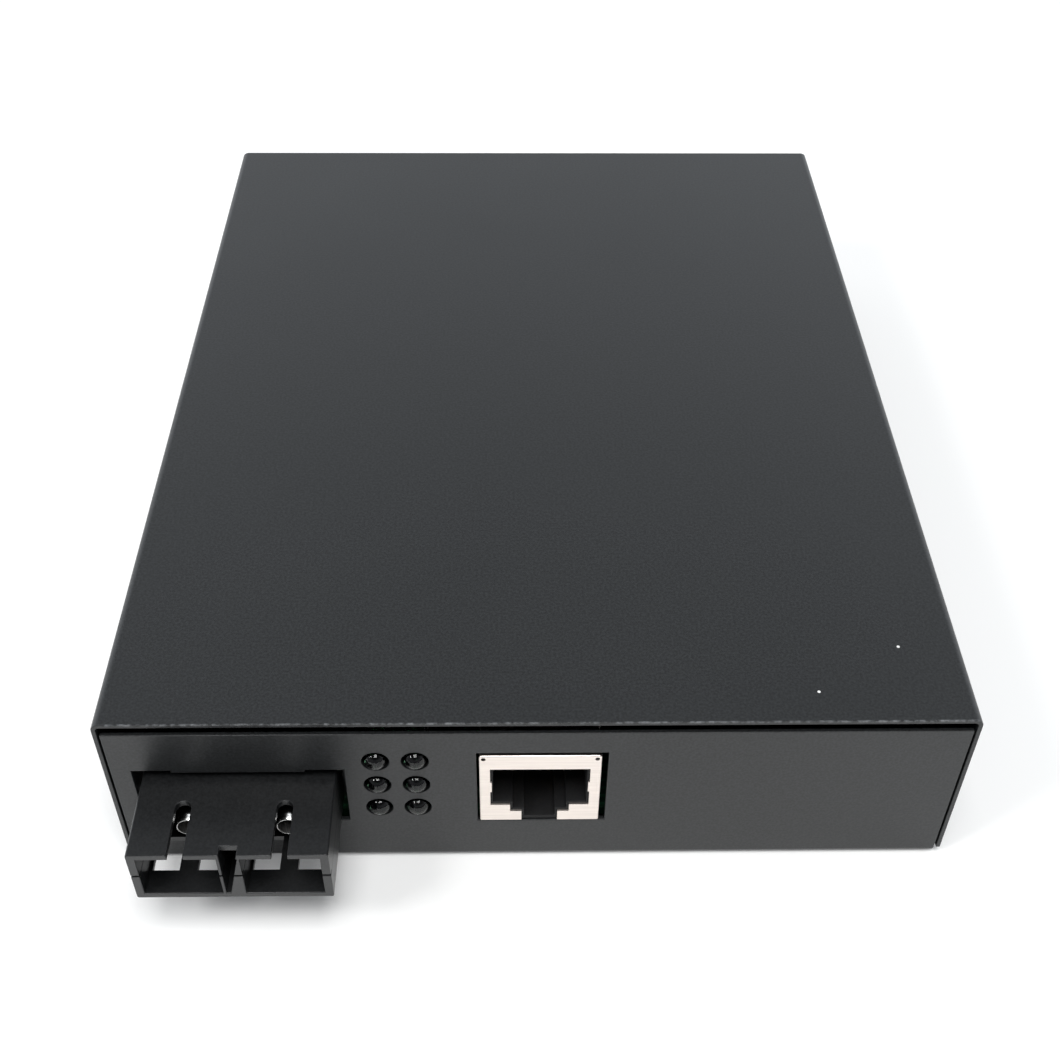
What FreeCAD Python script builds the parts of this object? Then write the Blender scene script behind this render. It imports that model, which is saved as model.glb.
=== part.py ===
"""Fibre optic media converter in a folded steel case.

A duplex optical port, six lamps and a network jack in front, a mains inlet behind, and the two circuit boards
that join them. Millimetres. The origin is the middle of the case's footprint, on its underside. +Z is up and
the ports face -Y.
"""
import FreeCAD, Part
import math
import os
import re
import Sketcher
from FreeCAD import Placement, Rotation, Vector

# Driving dimensions: name, value in millimetres (counts are plain numbers), what it measures.
SIZES = [
    ("case_width", "110", "across the cover's sides"),
    ("case_length", "142", "cover, front edge to rear edge"),
    ("case_height", "28.2", "underside to the top of the cover"),
    ("sheet_wall", "0.6", "thickness of the folded steel sheet"),
    ("bend_radius", "0.5", "inside radius of each fold"),
    ("cover_gap", "0.25", "clearance between the cover's sides and the tray"),
    ("panel_drop", "1.4", "end panels' upper edges under the cover's top"),
    ("skirt_lift", "1.1", "cover's lower edges above the underside"),
    ("flange_height", "9", "tray's side flanges, from the underside"),
    ("flange_length", "120", "tray's side flanges, along the case"),
    ("relief_width", "1.5", "relief cuts at the ends of the side flanges"),
    ("vent_width", "2", "each cooling slot, along the case"),
    ("vent_height", "9", "each cooling slot, upright"),
    ("vent_middle", "16", "middle of the cooling slots above the underside"),
    ("vent_pitch", "5", "one cooling slot to the next"),
    ("vent_count", "9", "cooling slots in each side"),
    ("cover_screw_span", "100", "front to rear cover screws"),
    ("cover_screw_height", "4.6", "cover screws above the underside"),
    ("screw_radius", "1.5", "screw shanks"),
    ("screw_play", "0.15", "radial clearance round a screw shank"),
    ("screw_head_radius", "2.75", "screw heads"),
    ("screw_head_height", "1.7", "screw heads"),
    ("screw_length", "5", "screw shanks under the head"),
    ("recess_length", "3.2", "cross recess, tip to tip"),
    ("recess_width", "0.8", "cross recess, each arm"),
    ("recess_depth", "1.0", "cross recess"),
    ("board_thickness", "1.6", "both circuit boards"),
    ("standoff_height", "6.1", "tray floor to the underside of a board"),
    ("post_width", "5", "locking posts, square"),
    ("post_hole_radius", "1.9", "holes for the locking posts' tongues"),
    ("tongue_width", "2.6", "tongue through the board"),
    ("tongue_thickness", "2", "tongue through the board"),
    ("barb_width", "4.4", "barbs over the board"),
    ("barb_height", "2.2", "barbs over the board"),
    ("hole_inset", "4", "board fixing holes from the board's edges"),
    ("main_width", "67", "main board, side to side"),
    ("main_length", "58", "main board, front to rear"),
    ("main_side_gap", "2.4", "main board to the left side flange"),
    ("board_front_gap", "1.2", "main board behind the front panel"),
    ("optic_right", "13.05", "middle of the optical port from the main board's left edge"),
    ("port_pitch", "12.7", "transmit port to receive port"),
    ("port_width", "9.8", "each optical port"),
    ("port_height", "7.3", "each optical port"),
    ("nose_wall", "1.1", "outer side walls of the optical nose"),
    ("nose_roof", "0.9", "roof and floor of the optical nose"),
    ("nose_round", "0.3", "long edges of the optical nose"),
    ("nose_reach", "11.6", "nose in front of the front panel"),
    ("nose_tail", "4.5", "nose behind the panel's front face"),
    ("nose_back_wall", "2.5", "wall behind the optical ports"),
    ("nose_lift", "0.15", "nose above the main board"),
    ("keyway_width", "2.0", "key slots in the nose's roof"),
    ("keyway_length", "8.1", "key slots in the nose's roof"),
    ("notch_wall", "0.4", "wall between the left port and the notch in the nose's front"),
    ("notch_top", "2.2", "notch between the optical ports, at the nose's roof"),
    ("notch_foot", "0.55", "notch between the optical ports, at the nose's floor"),
    ("notch_depth", "1.4", "notch between the optical ports"),
    ("core_depth", "6", "hollow that the notch opens into, under the nose's roof"),
    ("parting_height", "0.3", "groove where the two nose shells meet in front"),
    ("parting_depth", "0.8", "groove where the two nose shells meet in front"),
    ("window_setback", "3.4", "floor windows behind the nose's front"),
    ("window_length", "5", "floor windows under the latch arms"),
    ("window_strip", "2.3", "floor left between the windows of a port"),
    ("optic_cut_width", "26.8", "opening for the nose in the front panel"),
    ("optic_cut_below", "0.15", "that opening under the nose"),
    ("optic_cut_above", "1.1", "that opening over the nose"),
    ("corner_relief", "4.9", "punched corners of that opening, across"),
    ("corner_rise", "0.4", "punched corners of that opening, upwards"),
    ("barrel_radius", "1.95", "steel barrel round each ferrule sleeve"),
    ("barrel_taper", "1.1", "barrels' tapered front ends, along"),
    ("barrel_lip", "0.12", "wall of the barrels' mouths"),
    ("barrel_setback", "7.3", "barrels behind the nose's front"),
    ("barrel_seat_radius", "2.6", "barrel collars in the nose's back wall"),
    ("can_radius", "2.7", "laser and detector cans"),
    ("can_length", "5", "laser and detector cans"),
    ("sleeve_wall", "0.25", "ceramic ferrule sleeves"),
    ("sleeve_setback", "2.4", "ceramic sleeves inside the barrels' mouths"),
    ("sleeve_length", "5", "ceramic ferrule sleeves"),
    ("ferrule_radius", "1.25", "bore that takes a connector's ferrule"),
    ("ferrule_lead", "0.2", "barrels' mouths round a ferrule"),
    ("fit_gap", "0.1", "clearance between pieces that slide together"),
    ("clip_plate", "1.2", "latch clip's base plate"),
    ("clip_arm", "0.8", "latch arms' thickness"),
    ("clip_height", "4.9", "latch arms, upright"),
    ("clip_reach", "7", "latch arms in front of their plate"),
    ("clip_hook", "0.7", "latch hooks inward from the arms"),
    ("clip_hook_length", "1.6", "latch hooks along the arms"),
    ("module_width", "25.4", "optical module's rear case"),
    ("module_length", "23.5", "optical module's rear case"),
    ("module_height", "10", "optical module's rear case above the board"),
    ("module_wall", "1.0", "optical module's rear case"),
    ("module_board_lift", "2.6", "module's own board above the main board"),
    ("module_board_thickness", "1.0", "module's own board"),
    ("module_pin", "0.5", "module's square pins"),
    ("module_pin_pitch", "2.54", "module's pins"),
    ("module_pin_count", "9", "module's pins in a row"),
    ("module_pin_inset", "3", "module's pins in front of its rear"),
    ("inner_hole_side", "5.5", "inner fixing hole beside the optical module"),
    ("inner_hole_back", "16", "inner fixing hole behind the board's front"),
    ("lamp_right", "33.05", "middle of the lamp block from the main board's left edge"),
    ("lamp_column_pitch", "5.0", "left lamps to right lamps"),
    ("lamp_row_pitch", "4.8", "one lamp to the next above it"),
    ("lamp_rise", "2.8", "lowest lamps above the main board"),
    ("lamp_radius", "1.5", "lamp lenses"),
    ("lamp_flange_radius", "1.9", "lamp lenses' rear rims"),
    ("lamp_flange_length", "1.0", "lamp lenses' rear rims"),
    ("lamp_length", "5.4", "lamp lenses, tip to rim"),
    ("lamp_proud", "0.9", "lens tips in front of the front panel"),
    ("lamp_hole_radius", "1.75", "lamp holes in the front panel"),
    ("lamp_lead", "0.5", "lamp leads, square"),
    ("lamp_lead_pitch", "2.0", "the two leads of a lamp"),
    ("lamp_lead_step", "1.2", "each row's leads behind the row below"),
    ("jack_right", "51.4", "middle of the network jack from the main board's left edge"),
    ("jack_width", "15.6", "network jack's shield"),
    ("jack_height", "13.45", "network jack above the main board"),
    ("jack_depth", "18", "network jack, front to rear"),
    ("jack_proud", "0.1", "network jack in front of the front panel"),
    ("shield_wall", "0.25", "network jack's folded shield"),
    ("mouth_width", "12.8", "shield's opening"),
    ("mouth_height", "7.5", "shield's opening"),
    ("mouth_top_band", "2.65", "shield above its opening"),
    ("mouth_tab", "0.2", "grounding tabs at the sides of the opening"),
    ("mouth_tab_height", "2.0", "grounding tabs at the sides of the opening"),
    ("step_width", "7.7", "wider step of the latch slot"),
    ("step_height", "1.4", "wider step of the latch slot"),
    ("slot_width", "4.7", "narrow part of the latch slot"),
    ("cavity_rim", "0.35", "plastic that shows inside the shield's opening"),
    ("cavity_depth", "13", "socket for the network plug"),
    ("contact_pitch", "1.02", "network jack's spring contacts"),
    ("contact_width", "0.4", "network jack's spring contacts"),
    ("contact_count", "8", "network jack's spring contacts"),
    ("contact_drop", "2.6", "contact tips below the socket's roof"),
    ("contact_setback", "2.0", "contacts behind the jack's front"),
    ("contact_length", "8.5", "contacts, front to rear"),
    ("jack_cut_left", "0.28", "panel opening beyond the jack's left side"),
    ("jack_cut_right", "0.8", "panel opening beyond the jack's right side"),
    ("jack_cut_above", "0.5", "panel opening above the jack"),
    ("jack_cut_below", "0.25", "panel opening below the jack"),
    ("socket_floor", "0.6", "jack's floor under the latch slot"),
    ("shield_round", "0.4", "long edges of the jack's shield"),
    ("contact_stub", "1.2", "flat start of each spring contact"),
    ("chip_size", "7", "converter chip's square body"),
    ("chip_height", "1.5", "converter chip"),
    ("chip_lead_count", "8", "converter chip's leads on each side"),
    ("chip_lead_pitch", "0.8", "converter chip's leads"),
    ("chip_lead_width", "0.35", "converter chip's leads"),
    ("chip_lead_reach", "1.2", "converter chip's leads beyond its body"),
    ("power_width", "30", "power board, front to rear"),
    ("power_length", "80", "power board, side to side"),
    ("power_side_gap", "2.5", "power board to the right side flange"),
    ("power_rear_gap", "2", "power board in front of the mains inlet"),
    ("insulator_thickness", "0.3", "insulating sheet under the power board"),
    ("insulator_margin", "1.2", "insulating sheet beyond the power board"),
    ("inlet_side", "26.6", "middle of the mains inlet from the tray's right side"),
    ("inlet_height", "13", "middle of the mains inlet above the underside"),
    ("inlet_flange_width", "48", "mains inlet's flange"),
    ("inlet_flange_height", "22", "mains inlet's flange"),
    ("inlet_flange", "2.5", "mains inlet's flange thickness"),
    ("inlet_body_width", "27", "mains inlet's body"),
    ("inlet_body_height", "19.6", "mains inlet's body"),
    ("inlet_body_depth", "17", "mains inlet's body behind its flange"),
    ("inlet_corner", "4.5", "cut corners of the mains inlet"),
    ("inlet_wall", "1.4", "mains inlet's wall"),
    ("inlet_socket_depth", "16", "mains inlet's socket"),
    ("inlet_screw_span", "40", "mains inlet's two screws"),
    ("blade_width", "2", "mains inlet's blades"),
    ("blade_height", "4", "mains inlet's blades"),
    ("blade_span", "14", "line blade to neutral blade"),
    ("blade_offset", "2", "earth blade below and the others above the middle"),
    ("blade_length", "13", "blades inside the socket"),
    ("tag_length", "5", "blades in front of the inlet's body"),
    ("blade_leg", "2", "blades' legs down to the power board"),
    ("chip_right", "37", "converter chip from the main board's left edge"),
    ("chip_back", "36", "converter chip from the main board's front edge"),
    ("lead_sheet", "0.2", "thickness of chip leads"),
    ("magnetics_width", "12.8", "network line transformer"),
    ("magnetics_length", "7", "network line transformer"),
    ("magnetics_height", "5.8", "network line transformer"),
    ("magnetics_gap", "5", "network line transformer behind the jack"),
    ("magnetics_lead_count", "8", "line transformer's leads on each side"),
    ("magnetics_lead_pitch", "1.27", "line transformer's leads"),
    ("crystal_length", "11", "crystal's can"),
    ("crystal_width", "4.6", "crystal's can"),
    ("crystal_height", "3.5", "crystal's can"),
    ("crystal_right", "37", "crystal from the main board's left edge"),
    ("crystal_inset", "8", "crystal from the main board's rear edge"),
    ("small_can_radius", "3.15", "filter capacitors on the main board"),
    ("small_can_height", "7.7", "filter capacitors on the main board"),
    ("small_can_pitch", "8", "filter capacitors on the main board"),
    ("small_can_right", "9", "first filter capacitor from the main board's left edge"),
    ("small_can_back", "34", "filter capacitors from the main board's front edge"),
    ("small_can_count", "3", "filter capacitors on the main board"),
    ("regulator_width", "6.6", "voltage regulator"),
    ("regulator_length", "6.1", "voltage regulator"),
    ("regulator_height", "2.3", "voltage regulator"),
    ("regulator_right", "52", "voltage regulator from the main board's left edge"),
    ("regulator_inset", "10", "voltage regulator from the main board's rear edge"),
    ("header_height", "5", "wire headers above their boards"),
    ("plug_height", "3", "wire plugs above their headers"),
    ("dc_header_width", "5.8", "low-voltage headers"),
    ("dc_header_length", "7.5", "low-voltage headers"),
    ("dc_wire_pitch", "2.5", "the two cores of the low-voltage lead"),
    ("dc_wire_rise", "6.6", "low-voltage lead above its plugs"),
    ("dc_wire_bend", "5.5", "bends of the low-voltage lead"),
    ("main_header_right", "26", "low-voltage header from the main board's left edge"),
    ("main_header_inset", "8", "low-voltage header from the main board's rear edge"),
    ("power_header_along", "5", "low-voltage header from the power board's low-voltage end"),
    ("output_can_radius", "4", "output capacitors"),
    ("output_can_height", "12", "output capacitors"),
    ("output_can_span", "12", "output capacitors, side by side"),
    ("output_can_along", "15", "output capacitors from the power board's low-voltage end"),
    ("core_width", "19", "transformer's ferrite core"),
    ("core_length", "6", "transformer's ferrite core"),
    ("core_height", "15.5", "transformer's ferrite core"),
    ("core_leg", "3", "outer legs of the ferrite core"),
    ("core_along", "28", "transformer from the power board's low-voltage end"),
    ("winding_width", "11.6", "transformer's winding"),
    ("winding_length", "15", "transformer's winding"),
    ("bulk_can_radius", "6.5", "mains capacitor"),
    ("bulk_can_height", "16.5", "mains capacitor"),
    ("bulk_can_back", "19", "mains capacitor from the power board's front edge"),
    ("bulk_can_along", "45", "mains capacitor from the power board's low-voltage end"),
    ("switch_width", "6.4", "switching chip"),
    ("switch_length", "9.5", "switching chip"),
    ("switch_height", "3.5", "switching chip"),
    ("switch_back", "6.5", "switching chip from the power board's front edge"),
    ("switch_along", "41.5", "switching chip from the power board's low-voltage end"),
    ("bridge_width", "6.5", "bridge rectifier"),
    ("bridge_length", "8", "bridge rectifier"),
    ("bridge_height", "3.3", "bridge rectifier"),
    ("bridge_back", "6.5", "bridge rectifier from the power board's front edge"),
    ("bridge_inset", "21", "bridge rectifier from the power board's mains end"),
    ("fuse_radius", "2", "mains fuse"),
    ("fuse_length", "8", "mains fuse"),
    ("fuse_back", "4.5", "mains fuse from the power board's front edge"),
    ("fuse_inset", "11.5", "mains fuse from the power board's mains end"),
    ("safety_can_width", "5", "mains noise capacitor"),
    ("safety_can_length", "9", "mains noise capacitor"),
    ("safety_can_height", "11", "mains noise capacitor"),
    ("safety_can_back", "10.6", "mains noise capacitor from the power board's front edge"),
    ("safety_can_inset", "12", "mains noise capacitor from the power board's mains end"),
    ("choke_length", "9", "mains noise choke"),
    ("choke_width", "11", "mains noise choke"),
    ("choke_height", "12", "mains noise choke"),
    ("choke_back", "20.5", "mains noise choke from the power board's front edge"),
    ("choke_inset", "13.5", "mains noise choke from the power board's mains end"),
    ("wire_radius", "0.8", "half the thickness of the low-voltage lead"),
]
NAMES = {name for name, _, _ in SIZES}
AXES = {"X": Vector(1, 0, 0), "Y": Vector(0, 1, 0), "Z": Vector(0, 0, 1)}
# Turns a primitive that stands along Z so that it points along the named axis.
TURNS = {
    "Z": Rotation(),
    "X": Rotation(Vector(0, 1, 0), 90),
    "Y": Rotation(Vector(1, 0, 0), -90),
}

# Places worked out from the driving dimensions, as expressions on the sheet's names.
FRONT = "(-case_length / 2)"
REAR = "(case_length / 2)"
TRAY_HALF = "(case_width / 2 - sheet_wall - cover_gap)"
PANEL_TOP = "(case_height - sheet_wall - panel_drop)"
BOARD_UNDER = "(sheet_wall + standoff_height)"
BOARD_TOP = "(sheet_wall + standoff_height + board_thickness)"
MAIN_LEFT = "(sheet_wall + main_side_gap - case_width / 2 + sheet_wall + cover_gap)"
MAIN_RIGHT = f"({MAIN_LEFT} + main_width)"
OPTIC_MIDDLE = f"({MAIN_LEFT} + optic_right)"
LAMP_MIDDLE = f"({MAIN_LEFT} + lamp_right)"
JACK_MIDDLE = f"({MAIN_LEFT} + jack_right)"
INLET_MIDDLE = f"({TRAY_HALF} - inlet_side)"
INLET_BACK = f"({REAR} - inlet_body_depth)"
INLET_FACE = f"({REAR} + inlet_flange)"
MAIN_FRONT = f"({FRONT} + sheet_wall + board_front_gap)"
MAIN_REAR = f"({MAIN_FRONT} + main_length)"
POWER_RIGHT = f"({TRAY_HALF} - sheet_wall - power_side_gap)"
POWER_LEFT = f"({POWER_RIGHT} - power_length)"
POWER_REAR = f"({INLET_BACK} - power_rear_gap)"
POWER_FRONT = f"({POWER_REAR} - power_width)"
NOSE_HALF = "(port_pitch / 2 + port_width / 2 + nose_wall)"
NOSE_FRONT = f"({FRONT} - nose_reach)"
NOSE_REAR = f"({FRONT} + nose_tail)"
NOSE_UNDER = f"({BOARD_TOP} + nose_lift)"
PARTING = f"({NOSE_UNDER} + nose_roof + port_height / 2)"
NOSE_TOP = f"({PARTING} + port_height / 2 + nose_roof)"
PORT_BACK = f"({NOSE_REAR} - nose_back_wall)"
BARREL_FRONT = f"({NOSE_FRONT} + barrel_setback)"
BARREL_BORE = "(ferrule_radius + sleeve_wall)"
MODULE_REAR = f"({NOSE_REAR} + module_length)"
JACK_FRONT = f"({FRONT} - jack_proud)"
JACK_REAR = f"({JACK_FRONT} + jack_depth)"
JACK_TOP = f"({BOARD_TOP} + jack_height)"
MOUTH_TOP = f"({JACK_TOP} - mouth_top_band)"
MOUTH_UNDER = f"({MOUTH_TOP} - mouth_height)"
STEP_UNDER = f"({MOUTH_UNDER} - step_height)"
SOCKET_ROOF = f"({MOUTH_TOP} - cavity_rim)"
LAMP_TIP = f"({FRONT} - lamp_proud)"
LAMP_RIM = f"({LAMP_TIP} + lamp_length)"
PORTS = {"transmit": f"({OPTIC_MIDDLE} - port_pitch / 2)", "receive": f"({OPTIC_MIDDLE} + port_pitch / 2)"}

doc = FreeCAD.newDocument("media_converter")
sheet = doc.addObject("Spreadsheet::Sheet", "Sheet")
pieces = []


def fill_sheet():
    """Writes each driving dimension, its alias and what it measures into one row of the sheet."""
    for row, (name, value, meaning) in enumerate(SIZES, 1):
        sheet.set(f"A{row}", name)
        sheet.set(f"B{row}", value)
        sheet.setAlias(f"B{row}", name)
        sheet.set(f"C{row}", meaning)
    doc.recompute()


def cells(expression):
    """The same expression with every size's name pointing at its cell."""
    def pointed(word):
        return f"Sheet.{word[0]}" if word[0] in NAMES else word[0]

    return re.sub(r"[a-z_]+", pointed, str(expression))


def bind(thing, **sizes):
    """Ties properties of an object to expressions; __ in a name stands for a dot."""
    for name, expression in sizes.items():
        thing.setExpression(name.replace("__", "."), cells(expression))


def piece(thing, label):
    """Names an object as one of the finished pieces."""
    thing.Label = label
    pieces.append(thing)
    return thing


def placed(thing, x, y, z, axis="Z"):
    """Puts a primitive at a bound place, pointing along an axis."""
    thing.Placement = Placement(Vector(), TURNS[axis])
    bind(thing, Placement__Base__x=x, Placement__Base__y=y, Placement__Base__z=z)
    return thing


def box(x, y, z):
    """A block from (low, high) pairs along X, Y and Z."""
    block = doc.addObject("Part::Box", "Block")
    bind(block, Length=f"{x[1]} - ({x[0]})", Width=f"{y[1]} - ({y[0]})", Height=f"{z[1]} - ({z[0]})")
    return placed(block, x[0], y[0], z[0])


def rod(radius, length, x, y, z, axis="Z"):
    """A round bar that starts at a point and runs along an axis."""
    bar = doc.addObject("Part::Cylinder", "Rod")
    bind(bar, Radius=radius, Height=length)
    return placed(bar, x, y, z, axis)


def cut(base, *tools):
    """The first object less all the others."""
    for tool in tools:
        result = doc.addObject("Part::Cut", "Cut")
        result.Base = base
        result.Tool = tool
        base = result
    return base


def fuse(*shapes):
    """One solid from several that touch."""
    result = doc.addObject("Part::MultiFuse", "Fuse")
    result.Shapes = list(shapes)
    result.Refine = True
    return result


def group(shapes):
    """Separate solids that share one name."""
    result = doc.addObject("Part::Compound", "Group")
    result.Links = list(shapes)
    return result


def body():
    """An empty body for sketched features."""
    return doc.addObject("PartDesign::Body", "Body")


def polygon(sketch, corners):
    """A closed outline whose every corner is held by bound distances from the sketch's origin."""
    first = sketch.GeometryCount
    count = len(corners)
    ring = [Vector(math.cos(a), math.sin(a), 0) * 10 for a in (2 * math.pi * i / count for i in range(count))]
    for i in range(count):
        sketch.addGeometry(Part.LineSegment(ring[i], ring[(i + 1) % count]))
    for i in range(count):
        sketch.addConstraint(Sketcher.Constraint("Coincident", first + i, 2, first + (i + 1) % count, 1))
    for i, (across, up) in enumerate(corners):
        for kind, expression in (("DistanceX", across), ("DistanceY", up)):
            start = ring[i].x if kind == "DistanceX" else ring[i].y
            held = sketch.addConstraint(Sketcher.Constraint(kind, -1, 1, first + i, 1, start))
            sketch.setExpression(f"Constraints[{held}]", cells(expression))


def circle(sketch, across, up, radius):
    """A circle held by its bound centre and radius."""
    drawn = sketch.addGeometry(Part.Circle(Vector(1, 1, 0), Vector(0, 0, 1), 1))
    held = sketch.addConstraint(Sketcher.Constraint("Radius", drawn, 1))
    sketch.setExpression(f"Constraints[{held}]", cells(radius))
    for kind, expression in (("DistanceX", across), ("DistanceY", up)):
        held = sketch.addConstraint(Sketcher.Constraint(kind, -1, 1, drawn, 3, 1))
        sketch.setExpression(f"Constraints[{held}]", cells(expression))


def rectangle(across, up):
    """Corners of a rectangle from two (low, high) pairs."""
    return [(across[0], up[0]), (across[1], up[0]), (across[1], up[1]), (across[0], up[1])]


def prism(into, plane, span, outlines=(), circles=(), hollow=False):
    """Adds to a body, or takes from it if hollow, the outlines on a plane carried through a span across it.

    The plane is XY, XZ or YZ, and the span a (low, high) pair along the third axis.
    """
    sketch = into.newObject("Sketcher::SketchObject", "Sketch")
    support = next(o for o in into.Origin.OriginFeatures if o.Role == f"{plane}_Plane")
    sketch.AttachmentSupport = [(support, "")]
    sketch.MapMode = "FlatFace"
    # The XZ plane looks towards -Y, so its offset counts backwards.
    bind(sketch, AttachmentOffset__Base__z=f"-({span[0]})" if plane == "XZ" else span[0])
    for corners in outlines:
        polygon(sketch, corners)
    for across, up, radius in circles:
        circle(sketch, across, up, radius)
    feature = into.newObject("PartDesign::Pocket" if hollow else "PartDesign::Pad", "Prism")
    feature.Profile = sketch
    feature.Reversed = (plane == "XZ") != hollow
    bind(feature, Length=f"{span[1]} - ({span[0]})")
    doc.recompute()
    return feature


def edges_along(feature, axis, chosen):
    """Names of a feature's straight edges that run along an axis and whose middle point is chosen."""
    found = []
    for number, edge in enumerate(feature.Shape.Edges, 1):
        straight = isinstance(edge.Curve, Part.Line)
        if straight and abs(edge.Curve.Direction.dot(AXES[axis])) > 0.999 and chosen(edge.CenterOfMass):
            found.append(f"Edge{number}")
    return found


def rounded(into, feature, edges, radius):
    """Fillets named edges of a body's feature."""
    fillet = into.newObject("PartDesign::Fillet", "Round")
    fillet.Base = (feature, edges)
    bind(fillet, Radius=radius)
    doc.recompute()
    return fillet


def size(name):
    """A driving dimension as a number, for choosing edges."""
    return float(sheet.get(name))


def near(a, b):
    """Whether two lengths agree to a hundredth of a millimetre."""
    return abs(a - b) < 0.01


def screw(x, y, z, axis, down=True, length="screw_length"):
    """A pan-head screw with a cross recess, from the point its head sits on; down points it along -axis."""
    place = {"X": x, "Y": y, "Z": z}
    sign = "-" if down else "+"

    def along(distance):
        moved = dict(place)
        moved[axis] = f"{place[axis]} + {distance}"
        return moved["X"], moved["Y"], moved["Z"]

    shank_start = along(f"(-{length})" if down else "0")
    head_start = along("0" if down else "(-screw_head_height)")
    shank = rod("screw_radius", length, *shank_start, axis)
    head = rod("screw_head_radius", "screw_head_height", *head_start, axis)
    outer = "(screw_head_height)" if down else "(-screw_head_height)"
    arms = []
    for long_axis in (name for name in "XYZ" if name != axis):
        spans = {}
        for name in "XYZ":
            if name == axis:
                ends = [f"({place[name]} + {outer})", f"({place[name]} + {outer} {sign} recess_depth)"]
                spans[name] = tuple(ends[::-1] if down else ends)
            else:
                half = "recess_length / 2" if name == long_axis else "recess_width / 2"
                spans[name] = (f"({place[name]} - {half})", f"({place[name]} + {half})")
        arms.append(box(spans["X"], spans["Y"], spans["Z"]))
    return cut(fuse(shank, head), fuse(*arms))


def around(middle, width):
    """A (low, high) pair of that width about a middle."""
    return f"({middle} - ({width}) / 2)", f"({middle} + ({width}) / 2)"


# Folded case

def base_tray():
    """The tray: floor, front and rear panels and two low side flanges, folded from one sheet."""
    tray = body()
    front_back = f"({FRONT} + sheet_wall)"
    rear_back = f"({REAR} - sheet_wall)"
    folded = [(FRONT, "0"), (REAR, "0"), (REAR, PANEL_TOP), (rear_back, PANEL_TOP), (rear_back, "sheet_wall"),
              (front_back, "sheet_wall"), (front_back, PANEL_TOP), (FRONT, PANEL_TOP)]
    prism(tray, "YZ", (f"-{TRAY_HALF}", TRAY_HALF), [folded])
    flange = (f"({TRAY_HALF} - sheet_wall)", TRAY_HALF)
    mirrored = tuple(f"-{edge}" for edge in flange[::-1])
    along = ("-flange_length / 2", "flange_length / 2")
    for sides in (flange, mirrored):
        prism(tray, "XZ", along, [rectangle(sides, ("0", "flange_height"))])
    reach = f"({TRAY_HALF} - 2 * sheet_wall - bend_radius)"
    reliefs = []
    for sign in ("", "-"):
        for side in ("", "-"):
            ends = (f"{sign}(flange_length / 2)", f"{sign}(flange_length / 2 + relief_width)")
            reliefs.append(rectangle((f"{side}{reach}", f"{side}({TRAY_HALF} + sheet_wall)"), ends))
    flat = prism(tray, "XY", ("0", "2 * sheet_wall"), reliefs, hollow=True)
    half = size("case_width") / 2 - size("sheet_wall") - size("cover_gap")
    end = size("case_length") / 2
    wall = size("sheet_wall")
    outside = edges_along(flat, "X", lambda p: near(abs(p.y), end) and near(p.z, 0))
    outside += edges_along(flat, "Y", lambda p: near(abs(p.x), half) and near(p.z, 0) and near(p.y, 0))
    bent = rounded(tray, flat, outside, "bend_radius + sheet_wall")
    inside = edges_along(bent, "X", lambda p: near(abs(p.y), end - wall) and near(p.z, wall))
    inner = half - wall
    inside += edges_along(bent, "Y", lambda p: near(abs(p.x), inner) and near(p.z, wall) and near(p.y, 0))
    rounded(tray, bent, inside, "bend_radius")
    front_panel_openings(tray)
    rear_panel_openings(tray)
    fixing = "(screw_radius + screw_play)"
    holes = [(f"{sign}cover_screw_span / 2", "cover_screw_height", fixing) for sign in ("", "-")]
    prism(tray, "YZ", (f"-({TRAY_HALF} + fit_gap)", f"{TRAY_HALF} + fit_gap"), circles=holes, hollow=True)
    return piece(tray, "base_tray")


def front_panel_openings(tray):
    """Openings for the optical nose, with its punched corners, the network jack and the lamps."""
    left, right = around(OPTIC_MIDDLE, "optic_cut_width")
    low = f"({NOSE_UNDER} - optic_cut_below)"
    high = f"({NOSE_TOP} + optic_cut_above)"
    raised = f"({high} + corner_rise)"
    inner_left = f"({left} + corner_relief)"
    inner_right = f"({right} - corner_relief)"
    nose = [(left, low), (right, low), (right, raised), (inner_right, raised), (inner_right, high),
            (inner_left, high), (inner_left, raised), (left, raised)]
    jack_left, jack_right = around(JACK_MIDDLE, "jack_width")
    jack = rectangle((f"{jack_left} - jack_cut_left", f"{jack_right} + jack_cut_right"),
                     (f"{BOARD_TOP} - jack_cut_below", f"{JACK_TOP} + jack_cut_above"))
    lamps = [(x, z, "lamp_hole_radius") for _, x, z, _ in lamp_places()]
    span = (f"({FRONT} - fit_gap)", f"({FRONT} + sheet_wall + fit_gap)")
    prism(tray, "XZ", span, [nose, jack], lamps, hollow=True)


def rear_panel_openings(tray):
    """Opening for the mains inlet and its two screws."""
    fixings = around(INLET_MIDDLE, "inlet_screw_span")
    screws = [(x, "inlet_height", "screw_radius + screw_play") for x in fixings]
    span = (f"({REAR} - sheet_wall - fit_gap)", f"({REAR} + fit_gap)")
    prism(tray, "XZ", span, [inlet_outline("fit_gap")], screws, hollow=True)


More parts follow.
